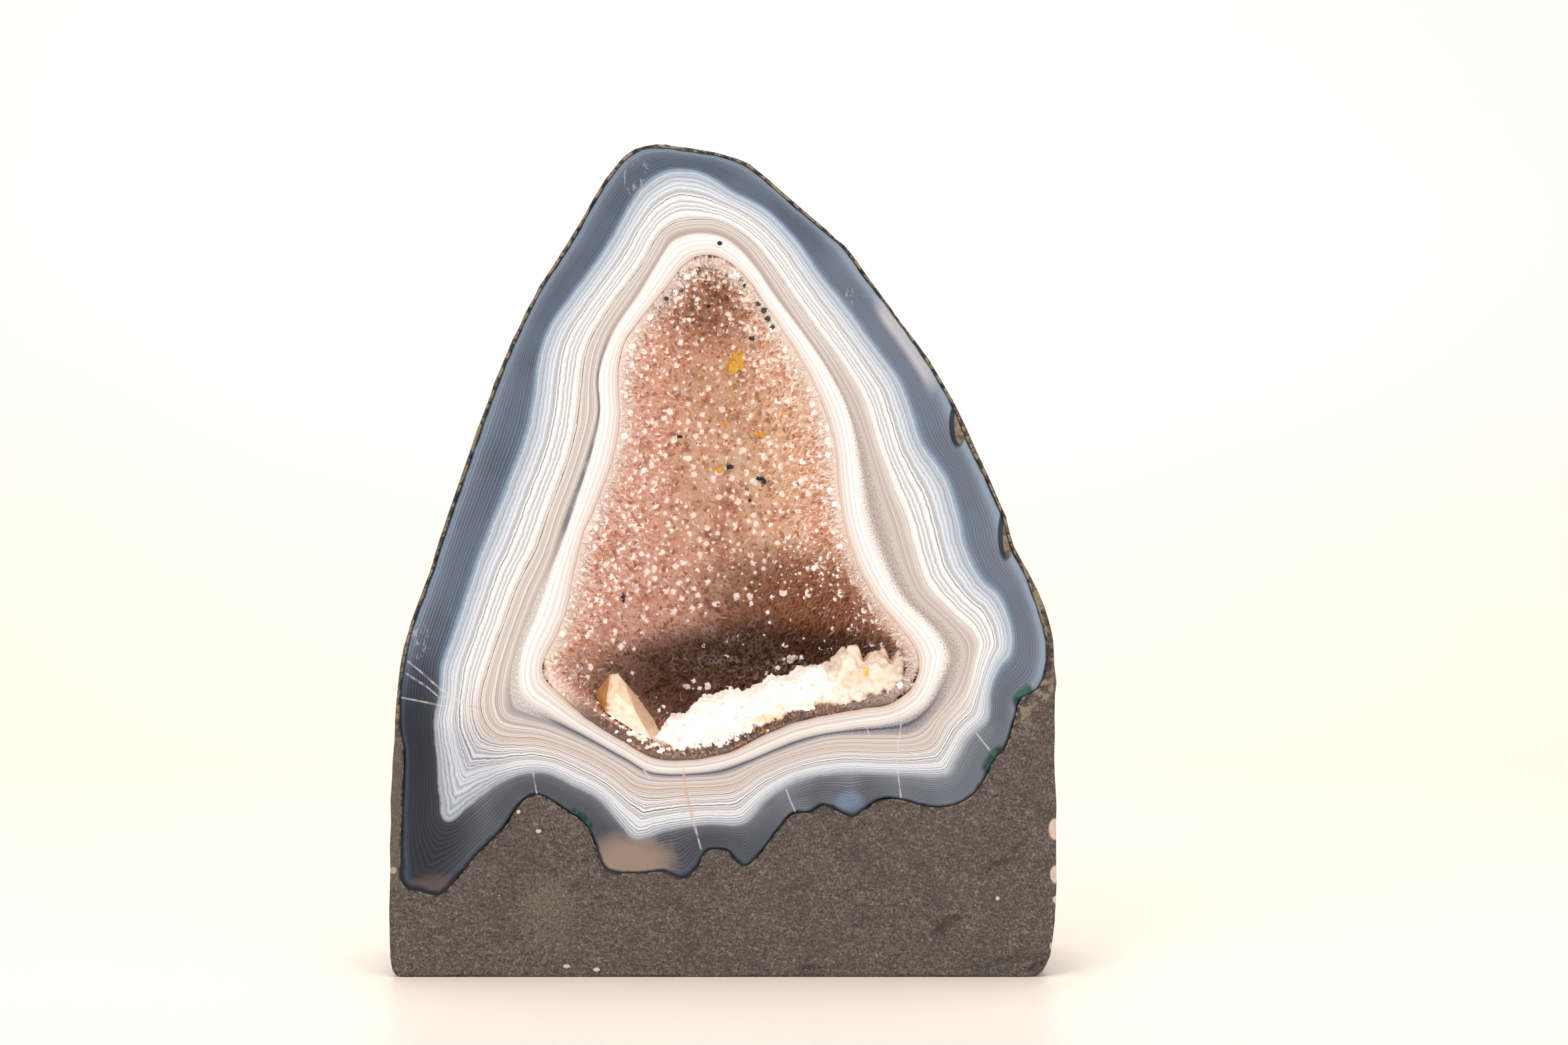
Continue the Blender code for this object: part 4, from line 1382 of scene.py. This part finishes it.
# %% Flashing points with a painted glow
# Painted glint: these points glow a little through emission, which is not lamp light.
flash = Finish("bright quartz", IOR=1.54, Coat_Weight=0.5, Coat_Roughness=0.03,
               Emission_Strength=0.4)
f = flash
glint = f.noise(f.place(), 0.8 * MM, 2)
white = f.mix(glint, paint(255, 236, 226), paint(255, 250, 246))
glowing_flash_material = f.wear(Base_Color=white, Emission_Color=white, Roughness=0.08 + glint * 0.1)
seedling = quartz_point(sides=4, shaft=0.3, tip=0.35)
bright = grown("bright", bed_piece, scatter_tree("Bright points", 1.1, "flash"),
               Shape=seedling,
               Spacing=1.5 * MM, Smallest=0.45 * MM, Largest=1.65 * MM, Skew=2.4, Seed=21,
               Finish=glowing_flash_material)
bpy.data.objects.remove(seedling)
points = mesh_points(bright)
points[:, 1] = np.maximum(points[:, 1], FRONT_Y + 0.3 * MM)
bright.vertices.foreach_set("co", points.ravel())
bright_piece = finished_mesh("bright_points", bright, glowing_flash_material, smooth=False)

# %% [markdown]
# ## The honey crystal
#
# One stout calcite crystal leans on the lip at the left. Its flat faces differ: the left one is
# clear honey with a rusty patch, the front one milky, the right one beige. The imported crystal
# already has the faces, so its copy only gets finer triangles and faint growth steps, and the
# finish tells the faces apart by the way that they look.

# %% Honey crystal
honey = Finish("honey calcite", IOR=1.58, Transmission_Weight=0.12, Coat_Weight=0.2,
               Coat_Roughness=0.1)
f = honey
place = f.place()
x, y, z = f.axes(place)
facing = f.axes(f.node("NewGeometry", output="True Normal"))[0]
veil = f.noise(place, 1.1 * MM, 3, 0.6)
clouds = f.noise(place, 3.2 * MM, 2)
amber = f.mix(clouds.rise(0.35, 0.65), paint(222, 158, 84), paint(244, 196, 128))
milky = f.mix(veil.rise(0.4, 0.7), paint(255, 238, 214, 1), paint(250, 218, 184, 1))
beige = f.mix(veil.rise(0.4, 0.7), paint(252, 220, 188, 1), paint(232, 192, 156, 1))
left_side = (x + (z - on_face(0, 1015)[1]) * -0.12).rise(on_face(915, 0)[0],
                                                         on_face(909, 0)[0])
base = f.mix(facing.rise(-0.25, -0.45).greater(left_side), milky, amber)
base = f.mix(facing.rise(0.3, 0.5), base, beige)
stain = f.spot(x, z, 900, 1070, 13, 17, 0.8)
base = f.mix(stain * veil.rise(0.35, 0.6) * 0.85, base, paint(176, 104, 34))
foot_crust = z.rise(on_face(0, 1088)[1], on_face(0, 1108)[1])
base = f.mix(foot_crust * veil.rise(0.4, 0.6) * 0.6, base, paint(255, 248, 236))
honey_material = f.wear(Base_Color=base, Roughness=0.18 + veil * 0.3,
                        Normal=f.bumps(veil, 0.07 * MM, 0.5))
point_bm = welded_copy("calcite_point")
bmesh.ops.subdivide_edges(point_bm, edges=point_bm.edges, cuts=7, use_grid_fill=True)
points, _ = mesh_arrays(point_bm)
point_bm.normal_update()
steps = 0.05 * MM * fractal(points, 0.9 * MM, 3) - 0.03 * MM
normals = np.array([vert.normal for vert in point_bm.verts])
put_back(point_bm, points + normals * steps[:, None])
honey_piece = finished("honey_crystal", point_bm, honey_material,
                       "calcite_point", smooth=False)

# %% [markdown]
# ## The white calcite mass
#
# The white calcite grew as knobs on knobs, like cauliflower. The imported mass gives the
# large knobs. Round balls stand on it: a few placed ones for the fingers at its right end and
# for the front edge that comes down to the lip, and many small ones that Geometry Nodes
# scatter. A voxel remesh melts them into one skin, which noise then roughens.

# %% Balls for the mass
FINGERS = [
    # across, down, mm behind the face, radius in mm
    (1274, 994, 8.0, 1.5), (1280, 982, 8.6, 1.5), (1285, 972, 9.2, 1.2), (1268, 1006, 7.4, 1.4),
    (1312, 992, 8.0, 1.4), (1320, 982, 8.6, 1.5), (1330, 976, 8.8, 1.1), (1306, 1004, 7.4, 1.2),
    (1350, 1000, 6.4, 1.3), (1355, 988, 6.8, 1.4), (1362, 977, 7.0, 1.2), (1345, 1014, 6.0, 1.4),
    (1226, 1014, 8.5, 1.6), (1208, 1018, 8.5, 1.5), (1160, 1036, 9.0, 1.5),
    (1120, 1058, 9.0, 1.3), (1066, 1066, 9.0, 0.9), (1096, 1050, 9.5, 0.9),
]
LIP_BALLS = 70
MASS_GAPS = [(1298, 1000, 6), (1339, 1002, 6), (1238, 1002, 18)]
lip = hollow_line[hollow_line[:, 1] < on_face(0, 1030)[1]]
lip = lip[(lip[:, 0] > on_face(930, 0)[0]) & (lip[:, 0] < on_face(1368, 0)[0])]
lip = lip[np.argsort(lip[:, 0])]
rng = random.Random(17)
cluster = welded_copy("calcite_cluster")


def add_ball(bm, middle, radius, detail=2):
    ball = bmesh.ops.create_icosphere(bm, subdivisions=detail, radius=radius)
    bmesh.ops.translate(bm, verts=ball["verts"], vec=middle)


for across, down, behind, radius in FINGERS:
    px, pz = on_face(across, down)
    add_ball(cluster, (px, FRONT_Y + behind * MM, pz - radius * MM), radius * MM)
for i in range(LIP_BALLS):
    px, pz = lip[int(rng.random() * len(lip))]
    radius = rng.uniform(0.7, 1.25) * MM
    rise = (rng.uniform(1.0, 2.2) if px > on_face(1120, 0)[0] else rng.uniform(0.3, 1.2)) * MM
    add_ball(cluster, (px, FRONT_Y + rng.uniform(1.6, 4.5) * MM, pz + rise + radius * 0.6),
             radius)
print(f"{len(FINGERS) + LIP_BALLS} balls stand on the mass")

# %% Growing the mass
cluster_mesh = bpy.data.meshes.new("cluster")
cluster.to_mesh(cluster_mesh)
cluster.free()
set_attribute(cluster_mesh, "growth", np.ones(len(cluster_mesh.vertices)))
set_attribute(cluster_mesh, "vigour", np.ones(len(cluster_mesh.vertices)))
mass = bpy.data.objects.new("mass", cluster_mesh)
ball_bm = bmesh.new()
add_ball(ball_bm, (0, 0, 0), 1.0, 1)
ball_mesh = bpy.data.meshes.new("ball")
ball_bm.to_mesh(ball_mesh)
ball_bm.free()
ball = bpy.data.objects.new("ball", ball_mesh)
knobs = grown("knobs", mass, scatter_tree("Calcite knobs", 0.5), Shape=ball,
              Spacing=1.15 * MM, Smallest=0.45 * MM, Largest=1.15 * MM, Skew=1.5, Seed=3,
              Finish=glowing_flash_material)
both = bmesh.new()
both.from_mesh(cluster_mesh)
both.from_mesh(knobs)
both_mesh = bpy.data.meshes.new("both")
both.to_mesh(both_mesh)
both.free()
melted = bpy.data.objects.new("melted", both_mesh)
scene.collection.objects.link(melted)
melt = melted.modifiers.new("Melt together", "REMESH")
melt.mode, melt.voxel_size = "VOXEL", 0.34 * MM
depsgraph = bpy.context.evaluated_depsgraph_get()
melted_mesh = bpy.data.meshes.new_from_object(melted.evaluated_get(depsgraph),
                                              depsgraph=depsgraph)
for helper in (mass, ball, melted):
    bpy.data.objects.remove(helper)
print(len(melted_mesh.polygons), "faces in the melted mass")

# %% White calcite finish
milk = Finish("white calcite", IOR=1.58, Subsurface_Weight=0.12,
              Subsurface_Radius=(1.0, 0.8, 0.6), Subsurface_Scale=0.0015)
f = milk
place = f.place()
x, y, z = f.axes(place)
nook_stain_and_shade = f.attribute("nook_stain_and_shade")
clouds = f.noise(place, 3.5 * MM, 3)
fine = f.noise(place, 0.45 * MM, 3, 0.6)
base = f.mix(clouds.rise(0.45, 0.7), paint(255, 250, 242, 1), paint(255, 241, 222, 1))
# Brownish stain and painted shade in the hollows between the knobs.
base = f.mix(nook_stain_and_shade.rise(0.62, 0.92) * 0.7, base, paint(190, 144, 108))
low_stain = (f.spot(x, z, 1190, 1085, 70, 16, 0.9) + f.spot(x, z, 1240, 1063, 60, 10, 0.9)
             + f.spot(x, z, 950, 1120, 40, 12, 0.9)).lesser(1)
base = f.mix(low_stain * clouds.rise(0.35, 0.6) * 0.6, base, paint(240, 178, 104))
right_cream = x.rise(on_face(1200, 0)[0], on_face(1300, 0)[0])
base = f.mix(right_cream * 0.65, base, f.mix(clouds.rise(0.4, 0.6), paint(250, 228, 200),
                                              paint(238, 196, 156)))
rust = f.cells(place, 2.6 * MM).rise(0.10, 0.05) * fine.rise(0.4, 0.6)
base = f.mix(rust * 0.5, base, paint(150, 96, 66))
milk_material = f.wear(Base_Color=base, Roughness=0.45 + fine * 0.35,
                       Normal=f.bumps(fine, 0.12 * MM, 0.5))
cluster = bmesh.new()
cluster.from_mesh(melted_mesh)
cluster.normal_update()
points, edges = mesh_arrays(cluster)
smooth_points = eased(points, edges, np.ones(len(points)), 12)
normals = np.array([vert.normal for vert in cluster.verts])
hollowness = ((smooth_points - points) * normals).sum(1) / (0.35 * MM)
for across, down, wide in MASS_GAPS:
    aside = (points[:, 0] - on_face(across, 0)[0]) / (wide * UNIT)
    above = np.clip(points[:, 2] - on_face(0, down)[1], 0, None)
    points[:, 2] -= above * np.exp(-aside ** 2) * 0.7
rough = fractal(points, 1.5 * MM, 4)
put_back(cluster, kept_behind_face(points + normals * (0.24 * MM * rough)[:, None]))
cluster_piece = finished("calcite_mass", cluster, milk_material,
                         "calcite_cluster")
set_attribute(cluster_piece.data, "nook_stain_and_shade", np.clip(0.5 + hollowness * 0.5 - rough * 0.2, 0, 1))

# %% [markdown]
# ## Small growths on the druse
#
# A few ochre lumps, black specks and white crystals sit on the druse. Each has a place on the
# drawing. A line from the camera through that place is followed until it meets the quartz, so
# the growth stands on the crystals and not in the air, seen from any side.

# %% Following a line to the druse
hosts = bmesh.new()
for host in (bed_piece, druse_piece, cluster_piece):
    hosts.from_mesh(host.data)
carriers = BVHTree.FromBMesh(hosts)
hosts.free()


def on_druse(across, down):
    """Where the line of sight through this place of the drawing meets quartz or calcite."""
    px, pz = on_face(across, down)
    start = Vector((px, FRONT_Y, pz))
    return carriers.ray_cast(start, (start - camera.location).normalized())[0]


def lump(bm, middle, wide, high, seed, rough=0.35):
    """A closed knobbly lump that is wide by high metres."""
    ball = bmesh.ops.create_icosphere(bm, subdivisions=2, radius=0.5)["verts"]
    for vert in ball:
        swell = 1 + rough * noise.noise(vert.co * 3 + Vector((seed, seed, seed)))
        vert.co = Vector(middle) + Vector((vert.co.x * wide, vert.co.y * wide,
                                           vert.co.z * high)) * swell


def growths(name, places, material, rough=0.35, pieces=1):
    """Lumps at (across, down, wide, high) of the drawing, each made of a few smaller ones."""
    bm = bmesh.new()
    rng = random.Random(name)
    for i, (across, down, wide, high) in enumerate(places):
        hit = on_druse(across, down) - Vector((0, 0.25 * wide * UNIT, 0))
        for k in range(pieces):
            share = 1.0 if pieces == 1 else 0.62
            jog = Vector((rng.uniform(-1, 1) * wide, 0, rng.uniform(-1, 1) * high)) * UNIT
            jog *= 0 if pieces == 1 else 0.28
            lump(bm, hit + jog, wide * UNIT * share, high * UNIT * share, i * 7.3 + k, rough)
    put_back(bm, kept_behind_face(mesh_arrays(bm)[0]))
    return finished(name, bm, material, smooth=False)


print("the first ochre lump sits at", [round(c / MM, 1) for c in on_druse(1107, 540)], "mm")

# %% Ochre lumps, black specks and white crystals
OCHRE = [(1107, 540, 30, 38), (1100, 556, 14, 14), (1097, 583, 9, 9), (1088, 635, 11, 10),
         (1140, 652, 17, 9), (1080, 705, 13, 12), (1299, 1008, 9, 12)]
BLACK = [(1130, 508, 12, 7), (1020, 655, 8, 5), (1048, 665, 7, 5), (1095, 700, 12, 9),
         (1140, 718, 12, 6), (1147, 723, 7, 8), (1125, 750, 5, 5), (935, 897, 8, 12),
         (1138, 456, 8, 7), (1146, 466, 9, 8), (1152, 478, 8, 9), (1159, 492, 7, 8),
         (1117, 428, 6, 5), (1063, 460, 5, 5), (1000, 448, 9, 6), (1022, 436, 6, 5)]
WHITE = [(1070, 418, 9, 8), (1080, 413, 9, 7), (1088, 421, 8, 9), (1083, 431, 9, 8),
         (1072, 429, 8, 8), (1050, 1063, 9, 9), (1053, 1051, 9, 9), (1064, 1045, 10, 8), (1076, 1051, 9, 9),
         (1080, 1063, 9, 9), (1108, 1052, 9, 14), (1112, 1040, 7, 9), (1155, 1016, 8, 12),
         (1190, 984, 17, 16), (1186, 992, 12, 11), (1060, 1046, 12, 12), (1024, 1086, 12, 10),
         (1098, 1034, 10, 10), (1150, 1010, 8, 8), (1030, 1032, 16, 12), (917, 1080, 12, 9),
         (932, 1090, 16, 11), (949, 1100, 20, 13), (966, 1109, 20, 13), (981, 1118, 18, 12),
         (992, 1126, 13, 9), (944, 1110, 10, 7), (972, 1122, 11, 7), (925, 1098, 7, 5)]
f = Finish("yellow ochre", IOR=1.5)
powder = f.noise(f.place(), 0.5 * MM, 3)
ochre_material = f.wear(Base_Color=f.mix(powder.rise(0.35, 0.65), paint(250, 184, 60, 1),
                                         paint(255, 222, 116, 1)),
                        Roughness=0.6 + powder * 0.3, Normal=f.bumps(powder, 0.1 * MM, 0.6))
f = Finish("black ore", IOR=1.6)
powder = f.noise(f.place(), 0.3 * MM, 2)
black_material = f.wear(Base_Color=f.mix(powder, paint(24, 20, 20), paint(70, 60, 58)),
                        Roughness=0.25 + powder * 0.3)
growths("ochre_lumps", OCHRE, ochre_material, 0.5, 4)
growths("black_specks", BLACK, black_material, 0.9)
growths("white_growths", WHITE, milk_material, 0.5, 3)

# %% [markdown]
# ## Sizes and the finishing line
#
# The dressed stone is meant to stay the size of the imported one, so both boxes are printed.

# %% Sizes
for thing in scene.objects:
    if thing.type == "MESH" and not thing.hide_render:
        thing.data.calc_loop_triangles()
        print(thing.name, len(thing.data.loop_triangles), "triangles")
dressed_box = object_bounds()
boxes = {"cad": [list(corner) for corner in cad_box],
         "visual": [list(corner) for corner in dressed_box]}
for name, (low, high) in boxes.items():
    print(name, [round((b - a) / MM, 2) for a, b in zip(low, high)], "mm")
